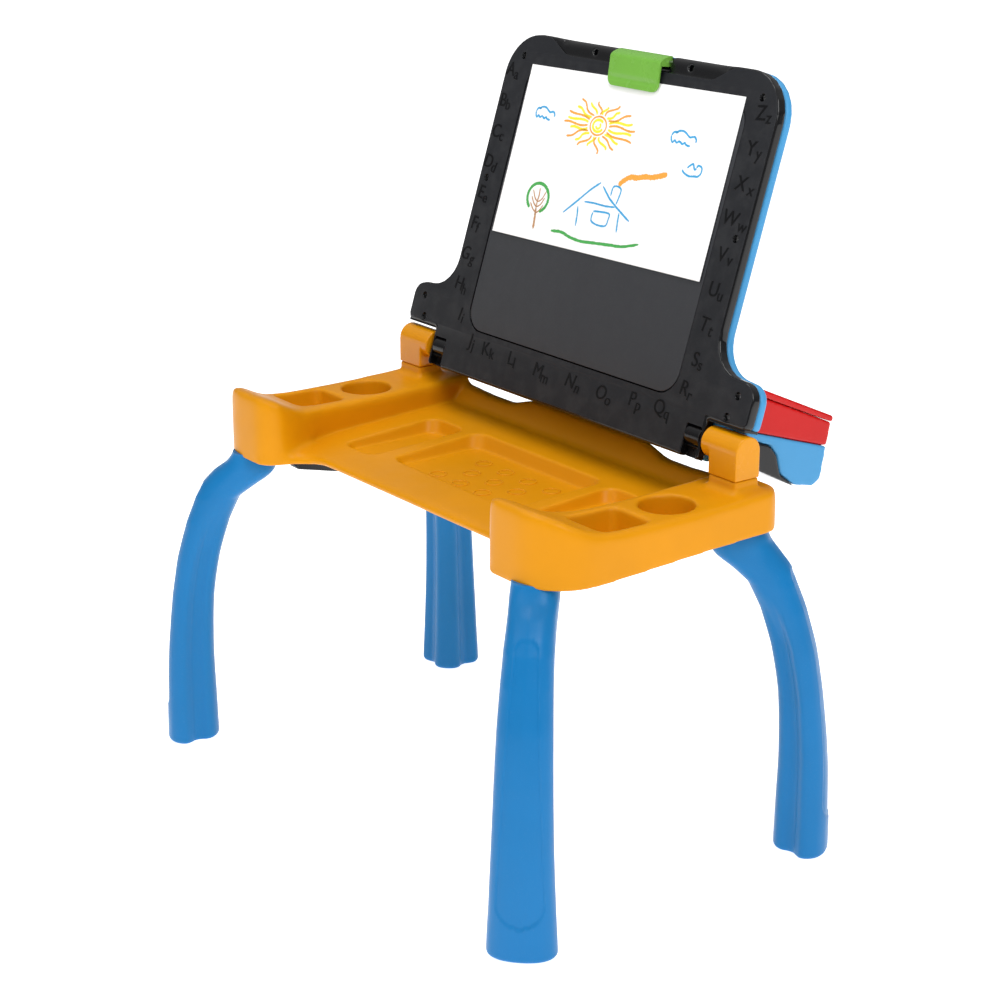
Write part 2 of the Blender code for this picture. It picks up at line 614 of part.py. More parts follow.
def make_panel_and_sheet():
    outline = box_outline(-PANEL_HALF, PANEL_HALF, PANEL_LOW, PANEL_HIGH, PANEL_R - PANEL_FIT)
    slab("drawing_panel", outline, BOARD_FRONT + 0.0006, BOARD_FRONT + 0.0037, "XZ", BOARD, "panel_grey")
    front = BOARD_FRONT - GAP - SHEET_T
    sheet = slab("paper_sheet", box_outline(-SHEET_W / 2, SHEET_W / 2, -SHEET_H / 2, SHEET_H / 2),
                 front, front + SHEET_T, "XZ", BOARD, "paper_white")
    sheet.location = (0, 0, SHEET_MID)
    sheet.rotation_euler = (0, -SHEET_TURN, 0)


# ---------------------------------------------------------------- clip
def make_clip():
    """A sprung clip over the top edge: a plate in front of the sheet, and a pivot behind it."""
    offset = Vector(CLIP_AXIS)
    corners = [(-0.0110, 0.2790, 0.001), (-0.0110, 0.3015, 0.001), (-0.0030, 0.3030, 0.001),
               (-0.0030, 0.3125, 0.001), (-0.0095, 0.3138, 0.003), (-0.0142, 0.3100, 0.003),
               (-0.0140, 0.2785, 0.001)]
    outline = rounded([(u - offset[0], v - offset[1], r) for u, v, r in corners], 3)
    clip = slab("paper_clip", outline, -CLIP_HALF, CLIP_HALF, "YZ", CLIP, "clip_green")
    boolean(clip, rod("clip_bore", CLIP_PIN_R + PIN_FIT, -0.05, 0.05, "X", CLIP, segments=12))
    slot = box_outline(-0.0036, 0.0045, -0.0080, 0.0033)
    boolean(clip, slab("clip_spring_slot", slot, -0.0085, 0.0085, "YZ", CLIP))
    rod("clip_pin", CLIP_PIN_R, -0.0420, 0.0420, "X", CLIP, "screw_steel", segments=12)
    turns, per_turn, coil_r, wire = 5, 10, 0.0023, 0.00035
    curve = bpy.data.curves.new("clip_spring", "CURVE")
    curve.dimensions = "3D"
    curve.bevel_depth = wire
    curve.bevel_resolution = 1
    curve.use_fill_caps = True
    spline = curve.splines.new("POLY")
    spline.points.add(turns * per_turn)
    for step, point in enumerate(spline.points):
        angle = math.tau * step / per_turn
        along = -0.0060 + 0.0120 * step / (turns * per_turn)
        point.co = (along, coil_r * math.cos(angle), coil_r * math.sin(angle), 1)
    place("clip_spring", from_bmesh("clip_spring", mesh_from("clip_spring", curve)), CLIP, "screw_steel")


# ---------------------------------------------------------------- rear shell and storage case
TROUGH = [(0.0080, 0.0145, 0), (0.1225, 0.0145, 0.001), (0.1258, -0.0150, 0.006), (0.1190, -0.0225, 0.004),
          (0.0960, -0.0245, 0.002), (0.0750, -0.0165, 0.006), (0.0650, -0.0010, 0.008),
          (0.0540, 0.0065, 0.010), (0.0080, 0.0085, 0)]
TROUGH_ROOM = [(0.0690, 0.0250, 0), (0.1190, 0.0250, 0), (0.1222, -0.0140, 0.004), (0.1175, -0.0188, 0.003),
               (0.0970, -0.0210, 0.002), (0.0790, -0.0135, 0.004), (0.0690, 0.0000, 0.004)]
BIN_BODY = [(0.0105, 0.0148, 0.001), (0.0105, 0.0481, 0), (0.1204, 0.0361, 0.002), (0.1224, 0.0148, 0)]
BIN_TUB = [(0.0698, 0.0160, 0), (0.1183, 0.0160, 0), (0.1213, -0.0134, 0.004), (0.1170, -0.0181, 0.003),
           (0.0972, -0.0202, 0.002), (0.0796, -0.0128, 0.004), (0.0698, 0.0005, 0.004)]
BIN_ROOM = [(0.0135, 0.0800, 0), (0.0135, 0.0180, 0.002), (0.0728, 0.0180, 0), (0.0728, 0.0015, 0.003),
            (0.0815, -0.0105, 0.003), (0.0975, -0.0170, 0.003), (0.1150, -0.0152, 0.003),
            (0.1180, -0.0125, 0.003), (0.1175, 0.0800, 0)]
BASE_BODY = [(0.0125, -0.0172, 0.002), (0.0465, -0.0172, 0.004), (0.0985, -0.0262, 0), (0.0957, -0.0250, 0),
             (0.0746, -0.0170, 0.006), (0.0646, -0.0014, 0.008), (0.0538, 0.0060, 0.010), (0.0125, 0.0080, 0)]


def hinge_relief(target, tag):
    """Room beside the board's ends for the table's hinge posts."""
    def relieve(side, word):
        lo, hi = sorted((side * (NOTCH_X - 0.0005), side * 0.30))
        room = box_outline(-0.03, 0.0220, -0.05, EAR_LOW - 0.0030)
        boolean(target, slab(f"{tag}_post_room_{word}", room, lo, hi, "YZ", BOARD))

    both_sides(relieve)


def make_rear_shell():
    shell = slab("rear_shell", board_outline(), BOARD_SPLIT + GAP, BOARD_BACK, "XZ", BOARD,
                 "shell_blue", EDGE_ROUND)
    room = box_outline(-0.150, 0.150, 0.035, 0.280, 0.015)
    boolean(shell, slab("shell_hollow", room, -0.01, BOARD_BACK - WALL, "XZ", BOARD))
    boolean(shell, slab("trough", rounded(TROUGH, 3), -CASE_HALF, CASE_HALF, "YZ", BOARD), "UNION")
    inner = CASE_HALF - 0.004
    boolean(shell, slab("trough_room", rounded(TROUGH_ROOM, 3), -inner, inner, "YZ", BOARD))
    hinge_clearance(shell, "shell", 0.0, 0.005)
    hinge_relief(shell, "shell")

    def holes(side, word):
        for number, (x, z) in enumerate(SCREWS):
            boolean(shell, rod(f"shell_bore_{word}_{number}", SCREW_BORE_R, -0.01, 0.0035, "Y", BOARD,
                               at=(side * x, 0, z), segments=12))

    both_sides(holes)


def make_storage():
    bin_part = slab("storage_bin", rounded(BIN_BODY, 3), -CASE_HALF, CASE_HALF, "YZ", BOARD, "storage_red")
    tub = CASE_HALF - 0.0045
    boolean(bin_part, slab("bin_tub", rounded(BIN_TUB, 3), -tub, tub, "YZ", BOARD), "UNION")
    lug = rounded([(0.0115, 0.0460, 0), (0.0185, 0.0460, 0),
                   (0.0185, 0.0540, 0.003), (0.0115, 0.0540, 0.003)], 3)

    def lugs(side, word):
        lo, hi = sorted((side * 0.2140, side * 0.2195))
        boolean(bin_part, slab(f"lid_lug_{word}", lug, lo, hi, "YZ", BOARD), "UNION")

    both_sides(lugs)
    room = CASE_HALF - 0.0075
    boolean(bin_part, slab("bin_room", rounded(BIN_ROOM, 3), -room, room, "YZ", BOARD))
    boolean(bin_part, rod("lid_pin_bore", LID_PIN_R + PIN_FIT, -0.2178, 0.2178, "X", BOARD,
                          at=(0, *LID_AXIS), segments=12))
    base = slab("case_base", rounded(BASE_BODY, 3), -CASE_HALF, CASE_HALF, "YZ", BOARD, "base_black")
    hinge_relief(base, "base")
    hollow = box_outline(0.0140, 0.0440, -0.04, 0.0030)
    boolean(base, slab("base_hollow", hollow, -0.190, 0.190, "YZ", BOARD))


def make_lid():
    """The storage lid, in a frame that starts on its own hinge axis."""
    near_rim, far_rim = BIN_BODY[1], BIN_BODY[2]
    slope = (far_rim[1] - near_rim[1]) / (far_rim[0] - near_rim[0])
    seat = near_rim[1] - LID_AXIS[1] + GAP + (LID_AXIS[0] - near_rim[0]) * slope
    far = 0.1200 - LID_AXIS[0]
    edge = seat + far * slope
    nose = LID_T / 2
    outline = rounded([
        (-nose, seat - nose * slope, nose * 0.95), (far, edge, 0.001),
        (far, edge + LID_T - 0.0005, 0.002), (-nose, seat + LID_T + 0.0006, nose * 0.95)], 4)
    lid = slab("storage_lid", outline, -LID_HALF, LID_HALF, "YZ", LID, "storage_red")

    def notch(side, word):
        lo, hi = sorted((side * 0.2135, side * 0.30))
        boolean(lid, slab(f"lid_notch_{word}", box_outline(-0.02, 0.0060, -0.02, 0.02), lo, hi, "YZ", LID))

    both_sides(notch)
    boolean(lid, rod("lid_bore", LID_PIN_R + PIN_FIT, -0.25, 0.25, "X", LID, segments=12))
    rod("lid_pin", LID_PIN_R, -0.2172, 0.2172, "X", LID, "screw_steel", segments=12)


make_tray()
make_legs()
make_rails()
make_hinges()
make_front_frame()
make_frame_screws()
make_panel_and_sheet()
make_clip()
make_rear_shell()
make_storage()
make_lid()
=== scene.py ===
"""Looks for the kids' easel desk: moulded plastics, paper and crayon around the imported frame."""
import json
import math
import random

import bmesh
import bpy
import numpy as np
from mathutils import Matrix, Vector


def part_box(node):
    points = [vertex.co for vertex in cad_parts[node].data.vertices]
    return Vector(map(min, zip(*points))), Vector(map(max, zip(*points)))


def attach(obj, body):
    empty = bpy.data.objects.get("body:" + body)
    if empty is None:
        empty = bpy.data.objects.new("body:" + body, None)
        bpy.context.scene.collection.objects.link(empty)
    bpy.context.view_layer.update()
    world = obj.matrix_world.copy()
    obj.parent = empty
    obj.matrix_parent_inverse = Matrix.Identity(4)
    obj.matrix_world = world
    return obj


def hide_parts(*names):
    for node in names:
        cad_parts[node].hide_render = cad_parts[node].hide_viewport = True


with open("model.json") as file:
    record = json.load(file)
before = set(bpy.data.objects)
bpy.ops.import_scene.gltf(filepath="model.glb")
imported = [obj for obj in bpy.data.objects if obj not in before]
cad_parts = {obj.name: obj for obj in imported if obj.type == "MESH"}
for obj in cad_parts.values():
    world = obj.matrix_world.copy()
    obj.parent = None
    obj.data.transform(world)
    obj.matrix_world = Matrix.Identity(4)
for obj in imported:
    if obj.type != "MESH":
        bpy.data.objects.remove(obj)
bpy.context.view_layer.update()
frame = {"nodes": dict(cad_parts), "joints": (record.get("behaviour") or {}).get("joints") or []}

NODES = frame["nodes"]
JOINTS = {joint["name"]: joint for joint in frame["joints"]}
HINGE = Vector(JOINTS["board_tilt"]["pos_m"])
TILT = math.radians(17.68)              # how far the open board leans back
TABLE = Vector((0, HINGE.y - 0.0965, 0))            # middle between the feet
BOARD = Matrix.Translation(HINGE) @ Matrix.Rotation(-TILT, 4, "X")
FRONT = -0.0095                         # the board's front face, along its own Y
MM = 0.001


# ---------------------------------------------------------------- materials
def new_material(name):
    made = bpy.data.materials.new(name)
    made.use_nodes = True
    tree = made.node_tree
    shader = tree.nodes["Principled BSDF"]
    return made, tree, shader


def noise(tree, scale, detail=3.0, rough=0.55, stretch=None):
    """A noise texture in object space; scale is in features per metre."""
    coords = tree.nodes.new("ShaderNodeTexCoord")
    texture = tree.nodes.new("ShaderNodeTexNoise")
    texture.inputs["Scale"].default_value = scale
    texture.inputs["Detail"].default_value = detail
    texture.inputs["Roughness"].default_value = rough
    source = coords.outputs["Object"]
    if stretch:
        mapping = tree.nodes.new("ShaderNodeMapping")
        mapping.inputs["Scale"].default_value = stretch
        tree.links.new(source, mapping.inputs["Vector"])
        source = mapping.outputs["Vector"]
    tree.links.new(source, texture.inputs["Vector"])
    return texture.outputs["Fac"]


def spread(tree, value, low, high, source_low=0.3, source_high=0.7):
    """Map a noise value onto low to high."""
    node = tree.nodes.new("ShaderNodeMapRange")
    node.inputs["From Min"].default_value = source_low
    node.inputs["From Max"].default_value = source_high
    node.inputs["To Min"].default_value = low
    node.inputs["To Max"].default_value = high
    tree.links.new(value, node.inputs["Value"])
    return node.outputs["Result"]


def mix_colours(tree, factor, first, second):
    """Mix two colours, each given as a tuple or a socket, by a factor socket."""
    node = tree.nodes.new("ShaderNodeMix")
    node.data_type = "RGBA"
    tree.links.new(factor, node.inputs["Factor"])
    for slot, colour in (("A", first), ("B", second)):
        socket = [s for s in node.inputs if s.name == slot and s.type == "RGBA"][0]
        if isinstance(colour, tuple):
            socket.default_value = (*colour, 1.0)
        else:
            tree.links.new(colour, socket)
    return [s for s in node.outputs if s.type == "RGBA"][0]


def bump(tree, height, strength, distance, below=None):
    node = tree.nodes.new("ShaderNodeBump")
    node.inputs["Strength"].default_value = strength
    node.inputs["Distance"].default_value = distance
    tree.links.new(height, node.inputs["Height"])
    if below:
        tree.links.new(below, node.inputs["Normal"])
    return node.outputs["Normal"]


def shade(colour, factor):
    return tuple(min(1.0, channel * factor) for channel in colour)


def plastic(name, colour, rough, grain=1400, grain_depth=0.00004, wear=0.25, coat=0.0, dust=0.03,
            specular=0.5):
    """Moulded plastic: fine surface grain, cloudy gloss, slight tone drift and paler worn edges."""
    made, tree, shader = new_material(name)
    cloud = noise(tree, 9.0, 4.0)
    tone = mix_colours(tree, spread(tree, cloud, 0.0, 1.0), shade(colour, 0.94), shade(colour, 1.05))
    pointy = tree.nodes.new("ShaderNodeNewGeometry").outputs["Pointiness"]
    edge = spread(tree, pointy, 0.0, 1.0, 0.515, 0.60)
    patch = spread(tree, noise(tree, 70.0, 5.0), 0.0, wear, 0.42, 0.62)
    both = tree.nodes.new("ShaderNodeMath")
    both.operation = "MULTIPLY"
    tree.links.new(edge, both.inputs[0])
    tree.links.new(patch, both.inputs[1])
    pale = tuple(channel * 0.75 + 0.22 for channel in colour)
    worn = mix_colours(tree, both.outputs[0], tone, pale)
    speck = spread(tree, noise(tree, 520.0, 2.0), 0.0, dust, 0.60, 0.78)
    dusty = mix_colours(tree, speck, worn, (0.75, 0.73, 0.70))
    tree.links.new(dusty, shader.inputs["Base Color"])
    gloss = spread(tree, noise(tree, 38.0, 6.0, 0.65), rough - 0.05, rough + 0.07)
    tree.links.new(gloss, shader.inputs["Roughness"])
    waves = bump(tree, noise(tree, 22.0, 2.0), 0.20, 0.0004)
    fine = bump(tree, noise(tree, grain, 2.0), 0.6, grain_depth, waves)
    scuffs = bump(tree, noise(tree, 60.0, 8.0, 0.8, (1.0, 14.0, 3.0)), 0.15, 0.00006, fine)
    tree.links.new(scuffs, shader.inputs["Normal"])
    shader.inputs["Specular IOR Level"].default_value = specular
    shader.inputs["Coat Weight"].default_value = coat
    shader.inputs["Coat Roughness"].default_value = 0.12
    return made


def paper(name, colour):
    """Drawing paper: fine fibre bump and faint cloudiness."""
    made, tree, shader = new_material(name)
    cloud = spread(tree, noise(tree, 12.0, 5.0), 0.0, 1.0)
    tone = mix_colours(tree, cloud, shade(colour, 0.975), colour)
    fibre = spread(tree, noise(tree, 900.0, 4.0, 0.7, (1.0, 1.0, 2.6)), 0.0, 0.06)
    tree.links.new(mix_colours(tree, fibre, tone, (0.80, 0.79, 0.76)), shader.inputs["Base Color"])
    tree.links.new(spread(tree, noise(tree, 300.0), 0.78, 0.92), shader.inputs["Roughness"])
    tree.links.new(bump(tree, noise(tree, 1600.0, 4.0), 0.5, 0.00003), shader.inputs["Normal"])
    return made


def crayon(name, colour):
    """Wax crayon on paper: broken, grainy strokes."""
    made, tree, shader = new_material(name)
    grain = spread(tree, noise(tree, 1900.0, 3.0, 0.7), 0.0, 0.42, 0.54, 0.70)
    tree.links.new(mix_colours(tree, grain, colour, tuple(0.45 * c + 0.52 for c in colour)),
                   shader.inputs["Base Color"])
    tree.links.new(spread(tree, noise(tree, 700.0), 0.45, 0.65), shader.inputs["Roughness"])
    tree.links.new(bump(tree, noise(tree, 1500.0, 4.0), 0.6, 0.00005), shader.inputs["Normal"])
    return made


def steel(name):
    """Zinc-plated screws and pins: turned marks and cloudy plating."""
    made, tree, shader = new_material(name)
    cloud = spread(tree, noise(tree, 400.0, 4.0), 0.0, 1.0)
    tree.links.new(mix_colours(tree, cloud, (0.36, 0.37, 0.39), (0.62, 0.62, 0.60)),
                   shader.inputs["Base Color"])
    shader.inputs["Metallic"].default_value = 1.0
    tree.links.new(spread(tree, noise(tree, 1200.0, 3.0), 0.22, 0.42), shader.inputs["Roughness"])
    turned = noise(tree, 2600.0, 2.0, 0.5, (1, 1, 9))
    tree.links.new(bump(tree, turned, 0.3, 0.00003), shader.inputs["Normal"])
    return made


ORANGE = plastic("orange_plastic", (0.70, 0.275, 0.0020), 0.34, wear=0.12, dust=0.006, specular=0.14)
CAP_ORANGE = plastic("cap_plastic", (0.73, 0.290, 0.0025), 0.22, wear=0.12, coat=0.08, dust=0.008,
                     specular=0.22)
LEG_BLUE = plastic("leg_plastic", (0.006, 0.172, 0.44), 0.34, grain=2200, grain_depth=0.00006, dust=0.010,
                   specular=0.20)
SHELL_BLUE = plastic("shell_plastic", (0.065, 0.310, 0.60), 0.32, dust=0.010, specular=0.22)
FACE_BLACK = plastic("face_plastic", (0.009, 0.010, 0.013), 0.46, grain=2600, grain_depth=0.00006,
                     wear=0.06, dust=0.008, specular=0.30)
EDGE_BLACK = plastic("edge_plastic", (0.003, 0.0032, 0.004), 0.15, wear=0.04, dust=0.004, specular=0.42)
LETTER_BLACK = plastic("letter_plastic", (0.002, 0.0022, 0.003), 0.36, wear=0.02, dust=0.0, specular=0.18)
PANEL_GREY = plastic("panel_plastic", (0.029, 0.031, 0.036), 0.55, grain=1800, grain_depth=0.00008,
                     wear=0.06, dust=0.01, specular=0.35)
BASE_BLACK = plastic("base_plastic", (0.003, 0.003, 0.004), 0.16, wear=0.05, dust=0.004, specular=0.35)
RED = plastic("red_plastic", (0.55, 0.006, 0.006), 0.20, wear=0.08, dust=0.006, specular=0.20)
GREEN = plastic("green_plastic", (0.17, 0.43, 0.055), 0.26, wear=0.02, dust=0.004, specular=0.30)
PAPER = paper("drawing_paper", (0.965, 0.965, 0.965))
STEEL = steel("zinc_steel")
CRAYONS = {
    "blue": crayon("crayon_blue", (0.015, 0.36, 0.70)),
    "orange": crayon("crayon_orange", (0.86, 0.36, 0.03)),
    "yellow": crayon("crayon_yellow", (0.95, 0.80, 0.02)),
    "green": crayon("crayon_green", (0.04, 0.38, 0.06)),
    "brown": crayon("crayon_brown", (0.48, 0.24, 0.09)),
}


# ---------------------------------------------------------------- mesh helpers
def link(name, mesh, material=None):
    made = bpy.data.objects.new(name, mesh)
    bpy.context.scene.collection.objects.link(made)
    if material:
        mesh.materials.clear()
        mesh.materials.append(material)
    return made


def evaluated(thing):
    """A fresh mesh of an object with its modifiers applied; the object itself is removed."""
    bpy.context.view_layer.update()
    mesh = bpy.data.meshes.new_from_object(thing.evaluated_get(bpy.context.evaluated_depsgraph_get()))
    mesh.transform(thing.matrix_world)
    bpy.data.objects.remove(thing, do_unlink=True)
    return mesh


def mesh_of(work, mesh=None):
    """Write a bmesh into a mesh, a new one unless it is given, and free the bmesh."""
    mesh = mesh or bpy.data.meshes.new("mesh")
    work.to_mesh(mesh)
    work.free()
    return mesh


def weld(mesh, distance=1e-6):
    work = bmesh.new()
    work.from_mesh(mesh)
    bmesh.ops.remove_doubles(work, verts=work.verts, dist=distance)
    bmesh.ops.recalc_face_normals(work, faces=work.faces)
    return mesh_of(work, mesh)


def bridge(work, rows):
    """Faces between neighbouring rows of vertices."""
    for one, two in zip(rows, rows[1:]):
        for k in range(len(one) - 1):
            work.faces.new((one[k], one[k + 1], two[k + 1], two[k]))


def positions(mesh):
    flat = np.empty(len(mesh.vertices) * 3, np.float64)
    mesh.vertices.foreach_get("co", flat)
    return flat.reshape(-1, 3)


def set_positions(mesh, points):
    mesh.vertices.foreach_set("co", points.astype(np.float32).ravel())
    mesh.update()


def smoothstep(value, low, high):
    t = np.clip((np.asarray(value, float) - low) / (high - low), 0, 1)
    return t * t * (3 - 2 * t)


def soften(mesh, rounds, weight=None):
    """Rounds of smoothing, each moving a point half way to its neighbours' mean, times its weight."""
    edges = np.empty(len(mesh.edges) * 2, np.int64)
    mesh.edges.foreach_get("vertices", edges)
    first, second = edges.reshape(-1, 2).T
    points = positions(mesh)
    count = len(points)
    degree = np.bincount(first, minlength=count) + np.bincount(second, minlength=count)
    share = 0.5 if weight is None else 0.5 * weight[:, None]
    for _ in range(rounds):
        total = np.empty_like(points)
        for axis in range(3):
            column = points[:, axis]
            total[:, axis] = (np.bincount(first, column[second], count)
                              + np.bincount(second, column[first], count))
        points += share * (total / degree[:, None] - points)
    set_positions(mesh, points)


def cad_copy(node, into):
    """A welded copy of a CAD node's mesh, moved by the matrix into."""
    mesh = NODES[node].data.copy()
    mesh.transform(into)
    return weld(mesh, 1e-5)


def remeshed(mesh, voxel):
    """One closed skin around a mesh."""
    thing = link("remesh", mesh)
    tool = thing.modifiers.new("skin", "REMESH")
    tool.mode = "VOXEL"
    tool.voxel_size = voxel
    return evaluated(thing)


def boolean_of(mesh, others, operation):
    thing = link("shape", mesh)
    helpers = []
    for other in others:
        helper = link("tool", other)
        helpers.append(helper)
        tool = thing.modifiers.new("tool", "BOOLEAN")
        tool.operation = operation
        tool.solver = "EXACT"
        tool.object = helper
    done = evaluated(thing)
    for helper in helpers:
        bpy.data.objects.remove(helper, do_unlink=True)
    return done


def cut(mesh, *cutters):
    """The mesh less each of the cutter meshes."""
    return boolean_of(mesh, cutters, "DIFFERENCE")


def thinned(mesh, ratio):
    thing = link("thin", mesh)
    tool = thing.modifiers.new("thin", "DECIMATE")
    tool.ratio = ratio
    return evaluated(thing)


def finish_piece(name, mesh, material, body, into=None, replaces=(), sharp=None):
    """Put a mesh in the scene as a piece that rides on a body."""
    if into is not None:
        mesh.transform(into)
    mesh.shade_smooth()
    if sharp:
        mesh.set_sharp_from_angle(angle=math.radians(sharp))
    piece = link(name, mesh, material)
    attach(piece, body)
    if replaces:
        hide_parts(*replaces)
    return piece


def rounded(corners, steps=8):
    """An outline through (u, v, radius) corners, with each corner turned by an arc."""
    points = []
    for number, (u, v, radius) in enumerate(corners):
        here = Vector((u, v))
        before = (Vector(corners[number - 1][:2]) - here).normalized()
        after = (Vector(corners[(number + 1) % len(corners)][:2]) - here).normalized()
        if radius <= 0:
            points.append(here)
            continue
        half = before.angle(after) / 2
        centre = here + (before + after).normalized() * radius / math.sin(half)
        reach = radius / math.tan(half)
        start = here + before * reach - centre
        sweep = start.angle_signed(here + after * reach - centre)
        for step in range(steps + 1):
            points.append(centre + Matrix.Rotation(-sweep * step / steps, 2) @ start)
    return points


def box_outline(left, right, low, high, radius=0.0, steps=8):
    return rounded([(left, low, radius), (right, low, radius), (right, high, radius), (left, high, radius)],
                   steps)


def circle(u, v, radius, steps=24):
    return [Vector((u + radius * math.cos(math.tau * i / steps), v + radius * math.sin(math.tau * i / steps)))
            for i in range(steps)]


XY = Matrix.Identity(4)
XZ = Matrix(((1, 0, 0, 0), (0, 0, 1, 0), (0, 1, 0, 0), (0, 0, 0, 1)))
YZ = Matrix(((0, 0, 1, 0), (1, 0, 0, 0), (0, 1, 0, 0), (0, 0, 0, 1)))


def plate(outlines, low, high, plane=XZ, bevel=0.0, bevel_steps=3):
    """A flat plate with holes from outlines, with rounded rims, from low to high across its plane."""
    curve = bpy.data.curves.new("plate", "CURVE")
    curve.dimensions = "2D"
    curve.fill_mode = "BOTH"
    curve.extrude = (high - low) / 2 - bevel
    curve.bevel_depth = bevel
    curve.bevel_resolution = bevel_steps
    curve.offset = -bevel
    for outline in outlines:
        spline = curve.splines.new("POLY")
        spline.points.add(len(outline) - 1)
        for point, (u, v) in zip(spline.points, outline):
            point.co = (u, v, 0, 1)
        spline.use_cyclic_u = True
    mesh = evaluated(link("plate", curve))
    mesh.transform(Matrix.Translation((0, 0, (low + high) / 2)))
    mesh.transform(plane)
    return weld(mesh)


def rod(radius, low, high, segments=48, axis="X", at=(0, 0, 0), top=None):
    work = bmesh.new()
    bmesh.ops.create_cone(work, cap_ends=True, segments=segments, radius1=radius,
                          radius2=radius if top is None else top, depth=high - low)
    bmesh.ops.translate(work, verts=work.verts, vec=(0, 0, (low + high) / 2))
    turn = {"X": Matrix.Rotation(math.pi / 2, 4, "Y"), "Y": Matrix.Rotation(-math.pi / 2, 4, "X"),
            "Z": XY}[axis]
    bmesh.ops.transform(work, matrix=Matrix.Translation(at) @ turn, verts=work.verts)
    return mesh_of(work)


def skin(rings):
    """A closed mesh through rings of equal counts."""
    work = bmesh.new()
    loops = [[work.verts.new(point) for point in ring] for ring in rings]
    count = len(loops[0])
    for lower, upper in zip(loops, loops[1:]):
        for i in range(count):
            j = (i + 1) % count
            work.faces.new((lower[i], lower[j], upper[j], upper[i]))
    work.faces.new(list(reversed(loops[0])))
    work.faces.new(loops[-1])
    bmesh.ops.recalc_face_normals(work, faces=work.faces)
    return mesh_of(work)


def moulded(name, node, material, body, voxel, rounds, into, cutters=(), weigh=None, heavy=0,
            keep=0.5):
    """A CAD node with its edges run soft, as they come out of a mould."""
    mesh = cad_copy(node, into.inverted())
    if cutters:
        mesh = cut(mesh, *cutters)
    mesh = remeshed(mesh, voxel)
    if weigh:
        soften(mesh, heavy, weigh(positions(mesh)))
    soften(mesh, rounds)
    finish_piece(name, thinned(mesh, keep), material, body, into, [node])


# ---------------------------------------------------------------- tray
TO_TABLE = Matrix.Translation(TABLE)
WALL = 0.003
TRAY_FRONT, TRAY_REAR, TRAY_SIDE, TRAY_BOTTOM = -0.125, 0.129, 0.262, 0.297
WING_TOP, WING_INNER = 0.3395, 0.1905
DECK_FRONT, CREASE_Y, REAR_TOP, REAR_DIP = -0.085, 0.107, 0.3405, 0.3320
CUP, CUP_R = (0.2260, 0.0265), 0.0242
BIN, SLOT, POCKET_Y, POCKET_FLOOR = (0.2275, -0.0385), (0.1350, 0.0080), 0.0150, 0.3030
POST_IN, POST_OUT, POST_TOP, KNUCKLE_Y, KNUCKLE_R = 0.2137, 0.2486, 0.3513, 0.0965, 0.0137
SOCKET, SOCKET_R, SOCKET_BORE_R = (0.2212, 0.1082), 0.0155, 0.0123
BOSS, BOSS_R = (0.193, 0.058), 0.0060           # where the braces are screwed on
UNDER_SIDE, UNDER_FRONT, UNDER_REAR = 0.2525, -0.0790, 0.1195   # the room behind the skirt
SKIRT_LOW, SKIRT_RISE, LIP_RISE = 0.2970, 0.0077, 0.0036
BLOCK_VOXEL, HOLLOW_VOXEL = 0.00135, 0.0016


def deck_z(y):
    return 0.3125 + 0.055 * y


def solid(outline, low, high, plane):
    return plate([outline], low, high, plane)


def basin(width, length, floor, draft, at, grow, radius, rise):
    """A cutter for a drafted pocket whose rim lies at the height given in at."""
    slope = draft / (at[2] - floor)
    rings = []
    for height in (floor - grow, at[2] + rise):
        wider = (height - at[2]) * slope + grow
        half_w, half_l = width / 2 + wider, length / 2 + wider
        ring = box_outline(-half_w, half_w, -half_l, half_l, radius, 6)
        rings.append([(at[0] + u, at[1] + v, height) for u, v in ring])
    return skin(rings)


def tray_pockets(grow):
    made = [basin(0.186, 0.103, POCKET_FLOOR, 0.005, (0, POCKET_Y, deck_z(POCKET_Y)), grow, 0.012, 0.004)]
    for side in (-1, 1):
        made.append(basin(0.050, 0.108, POCKET_FLOOR, 0.004, (side * SLOT[0], SLOT[1], deck_z(SLOT[1])),
                          grow, 0.012, 0.004))
        made.append(basin(0.048, 0.054, POCKET_FLOOR, 0.006, (side * BIN[0], BIN[1], WING_TOP),
                          grow, 0.007, 0.015))
        made.append(rod(CUP_R - 0.0015 + grow, POCKET_FLOOR - grow, WING_TOP + 0.02, 64, "Z",
                        (side * CUP[0], CUP[1], 0), CUP_R + 0.0008 + grow))
    return made


WING_RISE = [(-0.200, 0.3780), (-0.140, 0.3670), (-0.120, 0.3622), (-0.106, 0.3572), (-0.094, 0.3512),
             (-0.082, 0.3452), (-0.068, 0.3408), (-0.050, 0.3388), (-0.020, 0.3382), (0.030, 0.3385),
             (0.080, 0.3400), (0.140, 0.3420), (0.200, 0.3430)]


